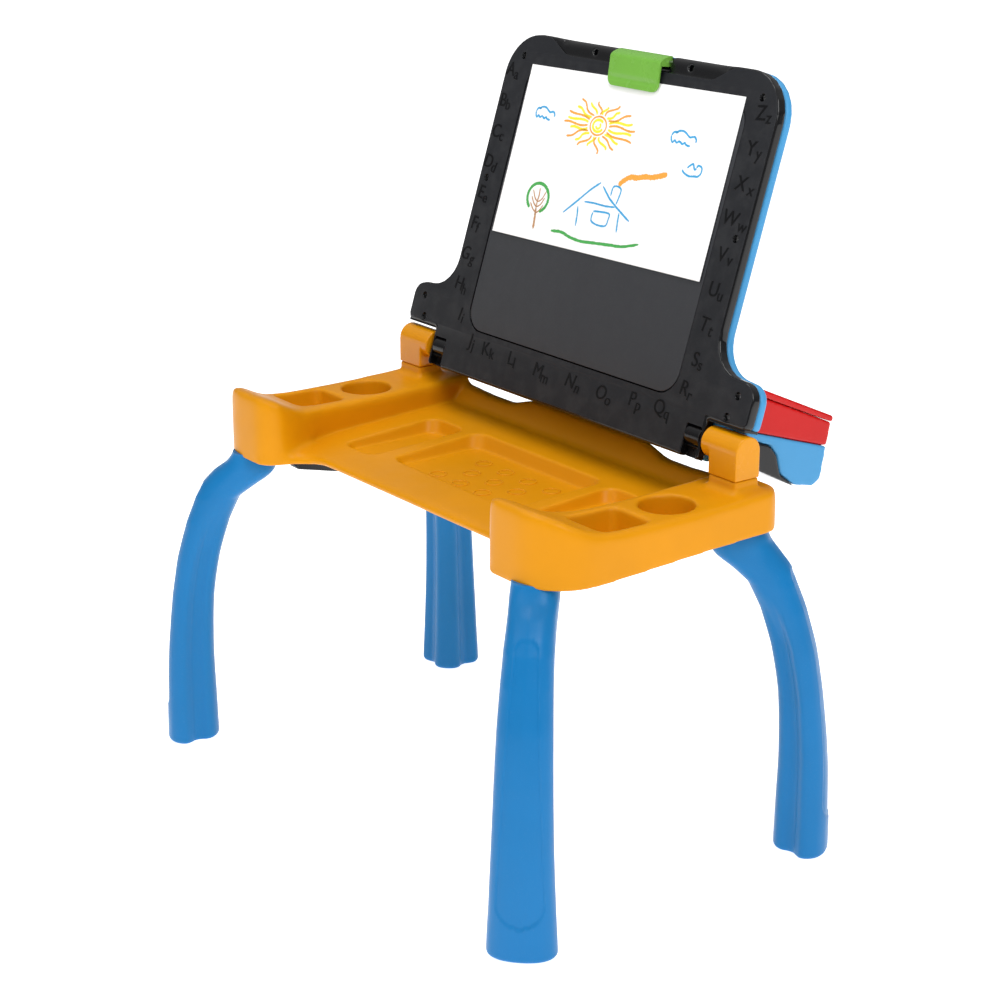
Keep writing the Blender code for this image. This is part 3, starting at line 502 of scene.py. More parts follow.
def tray_block(inset, low):
    """The tray as a block without its pockets; inset by the wall, it is the hollow underneath."""
    front, side, rear = TRAY_FRONT + inset, TRAY_SIDE - inset, TRAY_REAR - inset
    body = solid(rounded(mirrored([
        (0.157, DECK_FRONT + inset, 0.026), (0.175 + inset, front, 0.019 - inset),
        (side, front, 0.048 - inset), (side, rear, 0.020 - inset)]), 12), low, 0.38, XY)
    rise = [(y, z - inset) for y, z in (catmull(WING_RISE, t) for t in np.linspace(0, 1, 80))]
    top = solid([Vector((-0.20, 0.42))] + [Vector(p) for p in rise] + [Vector((0.20, 0.42))], -0.3, 0.3, YZ)
    half = WING_INNER + inset
    deck = solid(rounded([
        (-0.20, deck_z(-0.20) - inset, 0), (CREASE_Y, deck_z(CREASE_Y) - inset, 0.008),
        (CREASE_Y + 0.018, REAR_TOP - inset, 0.004), (0.20, REAR_TOP - inset, 0),
        (0.20, 0.42, 0), (-0.20, 0.42, 0)], 6), -half, half, YZ)
    between = solid(rounded(mirrored([
        (0.148 + inset, -0.160, 0), (half, -0.042, 0.090), (half, 0.20, 0)]), 16),
        0.25, 0.45, XY)
    deck = boolean_of(deck, [between], "INTERSECT")
    crown, dip = REAR_TOP + 0.002 - inset, REAR_DIP - inset
    wave = solid(rounded([
        (-half, 0.42, 0), (-half, dip + 0.003, 0), (-0.150, dip, 0.03), (-0.112, dip, 0.03),
        (-0.082, crown, 0.03), (0.082, crown, 0.03), (0.112, dip, 0.03), (0.150, dip, 0.03),
        (half, dip + 0.003, 0), (half, 0.42, 0)], 8), 0.095, 0.16, XZ)
    return cut(body, top, deck, wave)


def middle_block(grow, low, high):
    """The room inside the skirt, as a block."""
    side, front, rear = UNDER_SIDE + grow, UNDER_FRONT - grow, UNDER_REAR + grow
    return solid(box_outline(-side, side, front, rear, 0.01), low, high, XY)


def skirt_cutters():
    """What is open under the skirt, which rises in one long curve to the rear, and under the front lip."""
    curve = [Vector((y, SKIRT_LOW + SKIRT_RISE * float(smoothstep(y, TRAY_FRONT, TRAY_REAR))))
             for y in np.linspace(-0.14, 0.14, 29)]
    below = plate([curve + [Vector((0.14, 0.26)), Vector((-0.14, 0.26))]], -0.3, 0.3, YZ)
    under_lip = [Vector((x, SKIRT_LOW + LIP_RISE * float(1 - smoothstep(abs(x), 0.125, 0.172))))
                 for x in np.linspace(-0.18, 0.18, 61)]
    under_lip += [Vector((0.18, 0.26)), Vector((-0.18, 0.26))]
    return cut(below, middle_block(0, 0.25, 0.35)), plate([under_lip], -0.14, UNDER_FRONT + 0.001)


def tray_weights(points):
    """How much each point of the tray softens: most on the rims, the noses and the rolled front lip."""
    x, y, z = np.abs(points[:, 0]), points[:, 1], points[:, 2]
    rims = smoothstep(z, 0.327, 0.334) * (1 + 1.4 * smoothstep(-y, 0.075, 0.095))
    lip = smoothstep(-y, 0.060, 0.072) * smoothstep(z, 0.2985, 0.3015)
    posts = smoothstep(z, 0.3420, 0.3440) * smoothstep(y, 0.06, 0.07)
    near_cup = 1 - smoothstep(np.hypot(x - CUP[0], y - CUP[1]), 0.0265, 0.031)
    near_bin = ((1 - smoothstep(np.abs(x - BIN[0]), 0.0265, 0.030))
                * (1 - smoothstep(np.abs(y - BIN[1]), 0.0295, 0.033)))
    hard = 1 - 0.9 * np.maximum(near_cup, near_bin) * (z > 0.30)
    return np.clip(np.maximum(0.42 * rims, 0.8 * lip) * (1 - posts) * hard, 0, 1)


def make_tray():
    posts = []
    for side in (-1, 1):
        near, far = KNUCKLE_Y - KNUCKLE_R, KNUCKLE_Y + KNUCKLE_R
        for grow, high in ((0, POST_TOP), (0.003, WING_TOP + 0.0035)):
            lo, hi = sorted((side * (POST_IN - grow), side * (POST_OUT + grow)))
            posts.append(solid(box_outline(lo, hi, near - grow, far + grow, 0.002),
                               WING_TOP - 0.006, high, XY))
    block = cut(tray_block(0.0, TRAY_BOTTOM - 0.005), *tray_pockets(0.0), *skirt_cutters(),
                middle_block(0.0005, 0.25, TRAY_BOTTOM))
    block = remeshed(boolean_of(block, posts, "UNION"), BLOCK_VOXEL)
    hollow = cut(tray_block(WALL, TRAY_BOTTOM - 0.016), *tray_pockets(WALL))
    hollow = remeshed(hollow, HOLLOW_VOXEL)
    for mesh, many, few in ((block, 120, 6), (hollow, 85, 4)):
        soften(mesh, many, tray_weights(positions(mesh)))
        soften(mesh, few)
    block, hollow = thinned(block, 0.30), thinned(hollow, 0.22)
    keep, bores = [], []
    for side in (-1, 1):
        for end in (-1, 1):
            start = 0.26 if end < 0 else 0.3087
            at = (side * SOCKET[0], end * SOCKET[1], 0)
            keep.append(rod(SOCKET_R, start, 0.42, 32, "Z", at))
            bores.append(rod(SOCKET_BORE_R, 0.27, 0.3333, 32, "Z", at))
            keep.append(rod(BOSS_R, 0.26, 0.42, 24, "Z", (side * BOSS[0], end * BOSS[1], 0)))
    mesh = cut(block, cut(hollow, *keep), *bores)
    finish_piece("tray_body", mesh, ORANGE, "table", TO_TABLE, ["tray"], 50)


def make_pocket_rings():
    """Small rings embossed on the middle pocket's floor, in staggered rows."""
    ring_r, wire_r, around, across = 0.0076, 0.0009, 64, 12
    work = bmesh.new()
    for row, count in enumerate((3, 3, 4)):
        for number in range(count):
            x = -0.0445 + 0.034 * number + 0.017 * (row % 2)
            y = -0.0155 + 0.026 * row
            loops = []
            for i in range(around):
                a = math.tau * i / around
                loop = []
                for j in range(across):
                    b = math.tau * j / across
                    reach = ring_r + wire_r * math.cos(b)
                    height = POCKET_FLOOR + 0.0002 + 0.0006 * math.sin(b)
                    loop.append(work.verts.new((x + reach * math.cos(a), y + reach * math.sin(a), height)))
                loops.append(loop)
            for i in range(around):
                here, there = loops[i], loops[(i + 1) % around]
                for j in range(across):
                    k = (j + 1) % across
                    work.faces.new((here[j], there[j], there[k], here[k]))
    bmesh.ops.recalc_face_normals(work, faces=work.faces)
    finish_piece("pocket_rings", mesh_of(work), ORANGE, "table", TO_TABLE)


# ---------------------------------------------------------------- legs
FOOT = Vector((0.270, 0.157))
LEG_STATIONS = [            # height, centre, half depth and half width, as in the frame's leg
    (0.0000, 0.0000, 0.0245, 0.0300), (0.0450, 0.0000, 0.0238, 0.0280), (0.0950, -0.0008, 0.0222, 0.0260),
    (0.1500, -0.0053, 0.0203, 0.0244), (0.1930, -0.0129, 0.0202, 0.0232), (0.2290, -0.0236, 0.0205, 0.0218),
    (0.2540, -0.0345, 0.0215, 0.0208)]
LEG_TOPS = {                # the same above the bend; the rear legs reach up to the higher rear skirt
    "front": [(0.2660, -0.0458, 0.0256, 0.0203), (0.2790, -0.0600, 0.0280, 0.0203),
              (0.2880, -0.0675, 0.0235, 0.0205), (0.3002, -0.0700, 0.0185, 0.0195)],
    "rear": [(0.2660, -0.0440, 0.0256, 0.0205), (0.2790, -0.0570, 0.0290, 0.0208),
             (0.2900, -0.0630, 0.0265, 0.0218), (0.3085, -0.0660, 0.0230, 0.0218)],
}
PANEL_RANGE = (0.032, 0.266)            # heights of the recess on a leg's outer face
LEG_HALF_SECTION = [        # depth and width of the fluted section, from the outer face to the inner lobe
    (1.00, 0.00), (0.97, 0.30), (0.86, 0.62), (0.62, 0.88), (0.30, 0.99), (0.02, 0.96), (-0.14, 0.80),
    (-0.26, 0.62), (-0.48, 0.50), (-0.74, 0.44), (-0.93, 0.28), (-1.00, 0.00)]


def catmull(values, t):
    """A smooth curve through rows of values, at the fraction t of its length in rows."""
    values = np.asarray(values, float)
    place = np.clip(t, 0, 1) * (len(values) - 1)
    i = int(min(place, len(values) - 2))
    u = place - i
    p0, p1, p2, p3 = (values[min(max(k, 0), len(values) - 1)] for k in (i - 1, i, i + 1, i + 2))
    return 0.5 * (2 * p1 + (p2 - p0) * u + (2 * p0 - 5 * p1 + 4 * p2 - p3) * u * u
                  + (3 * p1 - p0 - 3 * p2 + p3) * u ** 3)


def leg_station(stations, height):
    heights = [row[0] for row in stations]
    i = int(np.clip(np.searchsorted(heights, height) - 1, 0, len(heights) - 2))
    t = (i + (height - heights[i]) / (heights[i + 1] - heights[i])) / (len(heights) - 1)
    return catmull(stations, t)[1:]


def leg_mesh(stations, around=144, up=150):
    half = [np.array(p) for p in LEG_HALF_SECTION]
    whole = half + [np.array((p[0], -p[1])) for p in reversed(half[1:-1])] + [half[0]]
    dense = np.array([catmull(whole, t) for t in np.linspace(0, 1, 600)])
    run = np.concatenate(([0], np.cumsum(np.hypot(*np.diff(dense, axis=0).T))))
    wanted = np.linspace(0, run[-1], around, endpoint=False)
    fluted = np.column_stack([np.interp(wanted, run, dense[:, k]) for k in (0, 1)])
    angles = np.arctan2(fluted[:, 1], fluted[:, 0])
    power = 2.5
    full = (np.abs(np.cos(angles)) ** power + np.abs(np.sin(angles)) ** power) ** (-1 / power)
    plain = np.column_stack([full * np.cos(angles), full * np.sin(angles)])
    foot_round = 0.0045
    top = stations[-1][0]
    low = [foot_round * (1 - math.cos(a)) for a in np.linspace(0, math.pi / 2, 9)][:-1]
    heights = low + list(np.linspace(foot_round, top, up))
    rings = []
    for height in heights:
        centre, depth, width = leg_station(stations, height)
        flute = 1 - float(smoothstep(height, 0.196, 0.262))
        shape = plain * (1 - flute) + fluted * flute
        inset = 0.0
        if height < foot_round:
            inset = foot_round * (1 - math.sin(math.acos(1 - height / foot_round)))
        u = centre + (depth - inset) * shape[:, 0]
        w = (width - inset) * shape[:, 1]
        low, high = PANEL_RANGE
        if low < height < high:
            panel_half = 0.0215 - 0.0120 * (height - low) / (high - low)
            for ends, turn in ((height - low, 0.020), (high - height, 0.008)):
                near = 1 - min(ends, turn) / turn
                panel_half *= math.sqrt(max(0.0, 1 - near * near))
            inside = smoothstep(panel_half - np.abs(w), -0.0002, 0.0010) * (shape[:, 0] > 0)
            u = u - 0.0011 * inside
        ridge = np.exp(-(w / 0.0035) ** 2) * (shape[:, 0] > 0)
        fade = smoothstep(height, 0.12, 0.24) * (1 - smoothstep(height, 0.285, 0.295))
        u = u + 0.0006 * ridge * float(fade)
        rings.append([(a, b, height) for a, b in zip(u, w)])
    return skin(rings)


def make_legs():
    for node in ("leg_front_left", "leg_front_right", "leg_rear_left", "leg_rear_right"):
        x_sign = -1 if "left" in node else 1
        y_sign = -1 if "front" in node else 1
        place = Matrix.Translation(TABLE + Vector((x_sign * FOOT.x, y_sign * FOOT.y, 0)))
        turn = Matrix.Rotation(math.atan2(y_sign, x_sign), 4, "Z")
        stations = LEG_STATIONS + LEG_TOPS["front" if "front" in node else "rear"]
        finish_piece(node + "_moulding", leg_mesh(stations), LEG_BLUE, "table", place @ turn,
                     [node], 60)


# ---------------------------------------------------------------- board
BOARD_HALF, BOARD_TOP, BOARD_LOW = 0.190, 0.3140, -0.020
EAR_HALF, EAR_LOW, EAR_TOP, NOTCH = 0.2475, 0.0172, 0.0560, 0.200
PANEL_HALF, PANEL_LOW, PANEL_HIGH, PANEL_R = 0.1530, 0.0262, 0.2850, 0.022
SCREWS = [(0.1662, 0.2914), (0.1780, 0.1705), (0.2290, 0.0437), (0.2221, 0.0240)]
WINDOW = (0.1777, 0.1970)               # how far out the barrels' windows run


def mirrored(right_half):
    return right_half + [(-u, v, r) for u, v, r in reversed(right_half)]


def face_outline():
    """The dull front face: inside the rounded edge, and swept down under the scooped top edge."""
    inset = 0.0013
    half, ear = BOARD_HALF - inset, EAR_HALF - inset
    right = [(NOTCH - 0.003, BOARD_LOW + 0.003, 0.002), (NOTCH - 0.003, EAR_LOW + 0.003, 0.002),
             (ear, EAR_LOW + 0.003, 0.004), (ear, EAR_TOP - inset, 0.013),
             (half, EAR_TOP + 0.004 - inset, 0.034), (half, BOARD_TOP - inset, 0.040)]
    scoop = [(0.124, BOARD_TOP - inset, 0.020), (0.100, 0.2985, 0.022)]
    left = [(-u, v, r) for u, v, r in reversed(right)]
    return rounded(right + scoop + [(-0.104, 0.2985, 0.022), (-0.132, BOARD_TOP - inset, 0.020)] + left, 14)


def panel_outline(shrink):
    half, low, high = PANEL_HALF - shrink, PANEL_LOW + shrink, PANEL_HIGH - shrink
    return box_outline(-half, half, low, high, PANEL_R, 14)


def windows():
    found = []
    for side in (-1, 1):
        lo, hi = sorted((side * WINDOW[0], side * WINDOW[1]))
        found.append(rounded([(lo, BOARD_LOW - 0.02, 0), (hi, BOARD_LOW - 0.02, 0),
                              (hi, 0.0090, 0.001), (lo, 0.0090, 0.001)], 3))
    return found


def scoop_cutter():
    """Takes the top edge down to a rounded bar, fading out at both ends."""
    rings = []
    for x in np.linspace(-0.134, 0.130, 67):
        amount = float(smoothstep(x, -0.133, -0.103) * (1 - smoothstep(x, 0.099, 0.129)))
        sink, radius = 0.0016 * amount, 0.0068
        centre_y, centre_z = FRONT + sink + radius, BOARD_TOP - radius * amount
        arc_points = [(centre_y - radius * math.cos(a), centre_z + radius * math.sin(a) * amount)
                      for a in np.linspace(0, math.pi / 2, 9)]
        start = 0.2975 + (BOARD_TOP - 0.0075 - 0.2975) * (1 - amount)
        profile = [(FRONT - 0.01, start), (FRONT + sink - 0.0002 * (1 - amount), start)] + arc_points
        profile += [(FRONT + sink + radius, BOARD_TOP + 0.01), (FRONT - 0.01, BOARD_TOP + 0.01)]
        rings.append([(x, y, z) for y, z in profile])
    return skin(rings)


def frame_weights(points):
    """Softer along the front rim, so that it rolls over."""
    rim = smoothstep(-points[:, 1], 0.0010, 0.0040)
    x, z = np.abs(points[:, 0]), points[:, 2]
    inner = (x < BOARD_HALF - 0.010) & (z < BOARD_TOP - 0.020) & (z > 0.012)
    windows_near = (x > 0.172) & (x < 0.202) & (z < 0.016)
    return rim * (1 - inner) * (1 - windows_near)


def make_front_frame():
    moulded("frame_edge", "front_frame", EDGE_BLACK, "board", 0.0010, 2, BOARD,
            cutters=[scoop_cutter()], weigh=frame_weights, heavy=3, keep=0.35)
    holes = [panel_outline(-0.0008)] + windows()
    for side in (-1, 1):
        holes += [circle(side * x, z, 0.0036) for x, z in SCREWS]
    face = plate([face_outline()], FRONT - 0.0003, FRONT + 0.0005, XZ, 0.0003, 2)
    for hole in holes:
        face = cut(face, plate([hole], -0.02, 0.01))
    finish_piece("frame_face", face, FACE_BLACK, "board", BOARD, (), 32)


def make_panel():
    board = plate([panel_outline(0.0004)], FRONT + 0.0001, FRONT + 0.0036, XZ, 0.0006, 3)
    finish_piece("panel_board", board, PANEL_GREY, "board", BOARD, ["drawing_panel"], 40)


LETTER_RING = {             # where the alphabet runs round the frame: middle of each pair, in mm
    "left": ("ABCDEFGH", (-177.5, 275), (-176, 63)), "right": ("ZYXWVUTS", (173.5, 277), (171, 61)),
}
LETTER_FOOT = {"I": (-164, 35), "J": (-139, 14), "K": (-110, 11), "L": (-73, 10), "M": (-26.5, 7),
               "N": (20, 8), "O": (65, 7), "P": (107.5, 11), "Q": (143, 12), "R": (167.5, 34)}
LETTER_GAP, CAPITAL_SIZE, SMALL_SIZE = 0.0005, 0.0185, 0.0150


def letter_mesh(text, size, slant):
    curve = bpy.data.curves.new("letter", "FONT")
    curve.body = text
    curve.size = size
    curve.shear = slant
    curve.align_x = "CENTER"
    curve.align_y = "CENTER"
    curve.extrude = 0.00006
    curve.bevel_depth = 0.00022
    curve.bevel_resolution = 1
    return evaluated(link("letter", curve))


def make_letters():
    """A plain alphabet pressed into the frame: each capital with its small letter at its foot."""
    dice = random.Random(7)
    spots = dict(LETTER_FOOT)
    for letters, top, bottom in LETTER_RING.values():
        for number, letter in enumerate(letters):
            t = number / (len(letters) - 1)
            spots[letter] = (top[0] + (bottom[0] - top[0]) * t, top[1] + (bottom[1] - top[1]) * t)
    work = bmesh.new()
    for letter, (x, z) in sorted(spots.items()):
        turn = Matrix.Rotation(math.pi / 2, 4, "X") @ Matrix.Rotation(dice.uniform(-0.12, 0.08), 4, "Z")
        slant = dice.uniform(-0.02, 0.20)
        pair = [letter_mesh(letter, CAPITAL_SIZE, slant), letter_mesh(letter.lower(), SMALL_SIZE, slant)]
        widths = [float(np.ptp(positions(mesh)[:, 0])) for mesh in pair]
        reach = (sum(widths) + LETTER_GAP) / 2
        for mesh, middle, down in ((pair[0], widths[0] / 2 - reach, 0.0012),
                                   (pair[1], reach - widths[1] / 2, -0.0024)):
            own = positions(mesh)
            shift = middle - (own[:, 0].max() + own[:, 0].min()) / 2
            mesh.transform(Matrix.Translation((x * MM, FRONT - 0.00035, z * MM)) @ turn
                           @ Matrix.Translation((shift, down, 0)))
            work.from_mesh(mesh)
    finish_piece("frame_letters", mesh_of(work), LETTER_BLACK, "board", BOARD, (), 40)


def make_shell():
    moulded("shell_back", "rear_shell", SHELL_BLUE, "board", 0.0014, 7, BOARD, keep=0.4)


# ---------------------------------------------------------------- paper and drawing
SHEET_W, SHEET_H, SHEET_MID, SHEET_TURN = 0.297, 0.162, 0.2062, math.radians(0.9)
SHEET_T = 0.0002
SHEET_FRONT = FRONT - 0.0007


def sheet_lift(x, z):
    """How far the paper stands off the panel: held under the clip, a little loose at its lower corners."""
    across = np.abs(x) / (SHEET_W / 2)
    down = 0.5 - z / SHEET_H
    ripple = 0.0002 * np.sin(9 * x / SHEET_W + 2) ** 2 * down
    return 0.0011 * across ** 3 * np.clip(down, 0, 1) ** 2 + ripple


def on_sheet(x, z, above=0.0):
    """A point of the sheet in the board's frame, from its own across and up."""
    c, s = math.cos(SHEET_TURN), math.sin(SHEET_TURN)
    return (x * c - z * s, SHEET_FRONT - float(sheet_lift(x, z)) - above, SHEET_MID + x * s + z * c)


def make_sheet():
    across, up = 100, 56
    work = bmesh.new()
    grid = [[work.verts.new(on_sheet(SHEET_W * (i / across - 0.5), SHEET_H * (j / up - 0.5)))
             for i in range(across + 1)] for j in range(up + 1)]
    bridge(work, grid)
    thing = link("sheet", mesh_of(work))
    tool = thing.modifiers.new("thickness", "SOLIDIFY")
    tool.thickness = SHEET_T
    tool.offset = -1.0
    piece = finish_piece("drawing_sheet", evaluated(thing), PAPER, "board", BOARD,
                         ["paper_sheet"], 30)


def stroke(work, points, width, dice, wobble=0.15):
    """A crayon stroke: a thin ribbon on the sheet whose width wanders."""
    points = [np.array(p, float) for p in points]
    steps = max(8, 9 * (len(points) - 1))
    line = [catmull(points, t) for t in np.linspace(0, 1, steps)]
    rows = []
    for i, here in enumerate(line):
        ahead = line[min(i + 1, steps - 1)] - line[max(i - 1, 0)]
        side = np.array((-ahead[1], ahead[0])) / max(np.hypot(*ahead), 1e-6)
        taper = min(1.0, 0.45 + 0.55 * min(i, steps - 1 - i) / 3)
        reach = width / 2 * taper * (1 + dice.uniform(-wobble, wobble))
        jitter = side * dice.uniform(-0.04, 0.04) * width
        rows.append([work.verts.new(on_sheet(*((here + side * k * reach + jitter) * MM), 0.00006))
                     for k in (1, 0, -1)])
    bridge(work, rows)


def arc(centre, radius, start, end, count=10, squash=1.0):
    return [(centre[0] + radius * math.cos(a), centre[1] + squash * radius * math.sin(a))
            for a in np.linspace(math.radians(start), math.radians(end), count)]


def drawing_strokes():
    """A child's drawing: a sun, three clouds, a tree, a house with smoke, and the ground."""
    dice = random.Random(11)
    sun = (-33.6, 240.3)
    yield "orange", 1.7, arc(sun, 11.3, 75, 450, 22, 0.76)
    yield "yellow", 2.6, arc(sun, 7.4, 40, 335, 14, 0.74)
    yield "yellow", 2.2, arc(sun, 3.2, 190, 420, 8, 0.8)
    for number in range(24):
        angle = math.tau * number / 24 + 0.10
        bold = number % 2 == 0
        outer = (52.0 if bold else 45.0) + dice.uniform(-4, 5)
        bend = dice.uniform(1.4, 3.2) * (1 if number % 4 < 2 else -1)
        ray = []
        for t in np.linspace(0, 1, 6):
            wide, tall = 15.0 + (outer - 15.0) * t, 10.5 + (0.45 * outer - 10.5) * t
            sway = bend * math.sin(t * math.tau * 0.9)
            ray.append((sun[0] + wide * math.cos(angle) - sway * math.sin(angle),
                        sun[1] + tall * math.sin(angle) + 0.6 * sway * math.cos(angle)))
        yield ("orange" if bold else "yellow"), (2.0 if bold else 2.4), ray
    wide_cloud = [[(-1.0, 0.0), (-0.85, 0.60), (-0.50, 0.67)],
                  [(-0.68, 0.45), (-0.50, 0.90), (-0.10, 0.97), (0.40, 0.30), (0.57, 0.36), (0.80, 0.45),
                   (0.97, 0.0), (0.94, -0.36)],
                  [(-1.0, 0.0), (-0.94, -0.60), (-0.80, -0.95), (-0.66, -0.62), (-0.48, -0.90),
                   (-0.28, -0.64), (-0.02, -0.95), (0.14, -0.70), (0.30, -0.98), (0.60, -1.05)]]
    low_cloud = [[(-1.0, -0.24), (-0.70, -0.70), (-0.15, -1.0), (0.38, -0.85), (0.70, -0.79), (0.95, -0.18),
                  (0.90, 0.67), (0.54, 0.90), (0.38, 0.50)],
                 [(-0.54, 0.20), (-0.30, 0.67), (-0.03, 0.97), (0.12, 0.50), (0.23, 0.20), (0.43, 0.36)]]
    for cloud, x, z, wide, tall in ((wide_cloud, -112.6, 242.2, 14.3, 5.4),
                                    (wide_cloud, 83.9, 245.0, 16.8, 5.8),
                                    (low_cloud, 104.4, 219.1, 12.6, 5.6)):
        for part in cloud:
            yield "blue", 1.9, [(x + wide * u, z + tall * v) for u, v in part]
    tree = (-93.0, 163.8)
    yield "green", 3.2, [(tree[0] + 15.4 * math.cos(a), tree[1] + 13.4 * math.sin(a) - 0.65 * math.cos(a))
                         for a in np.linspace(-1.15, 4.10, 18)]
    yield "brown", 2.6, [(-89.0, 134.5), (-89.8, 141), (-91.0, 148), (-92.0, 154)]
    yield "brown", 1.6, [(-92.0, 153), (-92.6, 160), (-92.0, 166), (-93.0, 173)]
    for side, foot, low, high in ((-1, 150, 153, 158), (1, 149, 152, 158), (-1, 155, 158, 164),
                                  (1, 155, 158, 165), (-1, 160, 163, 170), (1, 160, 163, 171)):
        yield "brown", 1.4, [(-92.0, foot), (-92 + side * 5.0, low), (-92.5 + side * 9.5, high)]
    yield "blue", 2.0, [(-9.7, 190.8), (-22, 182), (-37, 169), (-52.3, 156.1)]
    yield "blue", 2.0, [(-5.7, 188.0), (8, 178), (24, 170), (40.4, 162.7)]
    yield "blue", 1.9, [(-33.5, 165), (-31.5, 157), (-30.1, 146.9)]
    yield "blue", 1.9, [(24.5, 168), (25.5, 160), (27.2, 150.3)]
    yield "blue", 1.8, [(-26.0, 170.5), (-12, 171.2), (4, 171.0), (17, 172.0)]
    yield "blue", 1.8, [(-10.8, 164.0), (0, 165.0), (11.5, 165.0), (12.2, 160), (10.4, 153.8),
                        (0, 152.6), (-9.6, 154.6), (-11.2, 159), (-10.4, 163.0)]
    yield "blue", 1.8, [(7.6, 181.0), (8.2, 189.0), (13.5, 190.8), (19.4, 188.6), (19.0, 181.0),
                        (17.4, 174.5)]
    yield "orange", 5.0, [(14.3, 192.2), (20, 197), (28, 201.5), (36, 202), (46, 204.5), (56, 205.5),
                          (66, 208.2), (74.7, 210.6)]
    yield "green", 2.8, [(-63, 137.0), (-48, 138.2), (-34, 135.6), (-18, 134.6), (0, 136.0), (20, 137.8),
                         (40, 139.6), (60.5, 145.1)]


def make_drawing():
    dice = random.Random(5)
    works = {colour: bmesh.new() for colour in CRAYONS}
    c, s = math.cos(-SHEET_TURN), math.sin(-SHEET_TURN)
    for colour, width, points in drawing_strokes():
        centred = [(x, z - SHEET_MID / MM) for x, z in points]
        own = [(x * c - z * s, x * s + z * c) for x, z in centred]
        stroke(works[colour], own, width, dice)
    for colour, work in works.items():
        bmesh.ops.recalc_face_normals(work, faces=work.faces)
        finish_piece(f"crayon_strokes_{colour}", mesh_of(work), CRAYONS[colour], "board",
                     BOARD)


# ---------------------------------------------------------------- clip, case, hinges, screws
CLIP_MIDDLE, CLIP_HALF, CLIP_CORNER, CLIP_WALL = 0.0012, 0.0350, 0.0075, 0.0020
CLIP_PROFILE = [            # the clip's outer face from its lower edge, out to the fold, and over the top
    (-0.0126, 0.2786), (-0.0133, 0.2830), (-0.0144, 0.2900), (-0.0155, 0.2970), (-0.0164, 0.3025),
    (-0.0167, 0.3052), (-0.0157, 0.3076), (-0.0125, 0.3104), (-0.0088, 0.3128), (-0.0055, 0.3139),
    (-0.0036, 0.3134)]
CLIP_CHEEK = [(-0.0159, 0.3020), (-0.0161, 0.3050), (-0.0152, 0.3071), (-0.0121, 0.3099), (-0.0085, 0.3122),
              (-0.0054, 0.3132), (-0.0038, 0.3128), (-0.0036, 0.3045), (-0.0112, 0.3030)]


def make_clip():
    """The green clip: a plate with rounded lower corners, folded back over the board's top edge."""
    work = bmesh.new()
    rows = []
    columns = 84
    for y, z in (catmull(CLIP_PROFILE, t) for t in np.linspace(0, 1, 66)):
        rise = z - CLIP_PROFILE[0][1]
        short = 1 - min(rise, CLIP_CORNER) / CLIP_CORNER
        reach = CLIP_HALF - CLIP_CORNER * (1 - math.sqrt(max(0.0, 1 - short ** 2)))
        row = []
        for i in range(columns + 1):
            x = reach * (2 * i / columns - 1)
            side = abs(x) / CLIP_HALF
            crown = 0.0005 * (1 - side ** 4)
            lip = 0.0010 * math.exp(-((rise - 0.0075) / 0.0022) ** 2) * (1 - side ** 6)
            row.append(work.verts.new((CLIP_MIDDLE + x, y - crown + lip, z)))
        rows.append(row)
    bridge(work, rows)
    thing = link("clip", mesh_of(work))
    tool = thing.modifiers.new("wall", "SOLIDIFY")
    tool.thickness = CLIP_WALL
    tool.offset = -1.0
    tool.use_even_offset = True
    edge = thing.modifiers.new("edge", "BEVEL")
    edge.width = 0.0006
    edge.segments = 3
    edge.angle_limit = math.radians(50)
    whole = bmesh.new()
    whole.from_mesh(evaluated(thing))
    for side in (-1, 1):
        near, far = sorted(CLIP_MIDDLE + side * (CLIP_HALF - inner) for inner in (0.0018, 0.0003))
        whole.from_mesh(plate([CLIP_CHEEK], near, far, YZ))
    finish_piece("clip_shell", mesh_of(whole), GREEN, "clip", BOARD, ["paper_clip"], 50)


def make_case():
    moulded("case_bin", "storage_bin", RED, "board", 0.0012, 6, BOARD, keep=0.4)
    moulded("case_lid", "storage_lid", RED, "lid", 0.0010, 6, BOARD, keep=0.35)
    moulded("case_floor", "case_base", BASE_BLACK, "board", 0.0012, 5, BOARD, keep=0.4)


def make_hinges():
    for side in ("left", "right"):
        moulded(f"cap_{side}", f"hinge_cap_{side}", CAP_ORANGE, "table", 0.0006, 9, TO_TABLE)
        moulded(f"barrel_{side}", f"hinge_barrel_{side}", BASE_BLACK, "board", 0.0004, 8, BOARD)
        moulded(f"brace_{side}", f"leg_rail_{side}", BASE_BLACK, "table", 0.0008, 6, TO_TABLE)


def make_hinge_liners():
    """Black linings: behind each barrel, and along the underside of each ear."""
    for side, word in ((-1, "left"), (1, "right")):
        rings = []
        lo, hi = sorted((side * 0.1776, side * 0.1972))
        for x in (side * 0.1776, side * 0.1972):
            ring = [(x, 0.0117 * math.cos(a), 0.0117 * math.sin(a)) for a in np.linspace(-2.2, 1.9, 40)]
            ring += [(x, 0.0109 * math.cos(a), 0.0109 * math.sin(a)) for a in np.linspace(1.9, -2.2, 40)]
            rings.append(ring)
        lining = bmesh.new()
        lining.from_mesh(skin(rings))
        lining.from_mesh(plate([box_outline(lo, hi, -0.0197, -0.0106)], -0.0005, 0.0004))
        finish_piece(f"barrel_lining_{word}", mesh_of(lining), BASE_BLACK, "board", BOARD,
                     (), 40)
        lo, hi = sorted((side * 0.2010, side * 0.2455))
        under = plate([rounded([(lo, -0.0088, 0.001), (hi, -0.0088, 0.002), (hi, 0.0092, 0.002),
                                (lo, 0.0092, 0.001)])], 0.0160, 0.0185, XY, 0.0003)
        finish_piece(f"ear_lining_{word}", under, EDGE_BLACK, "board", BOARD, (), 40)


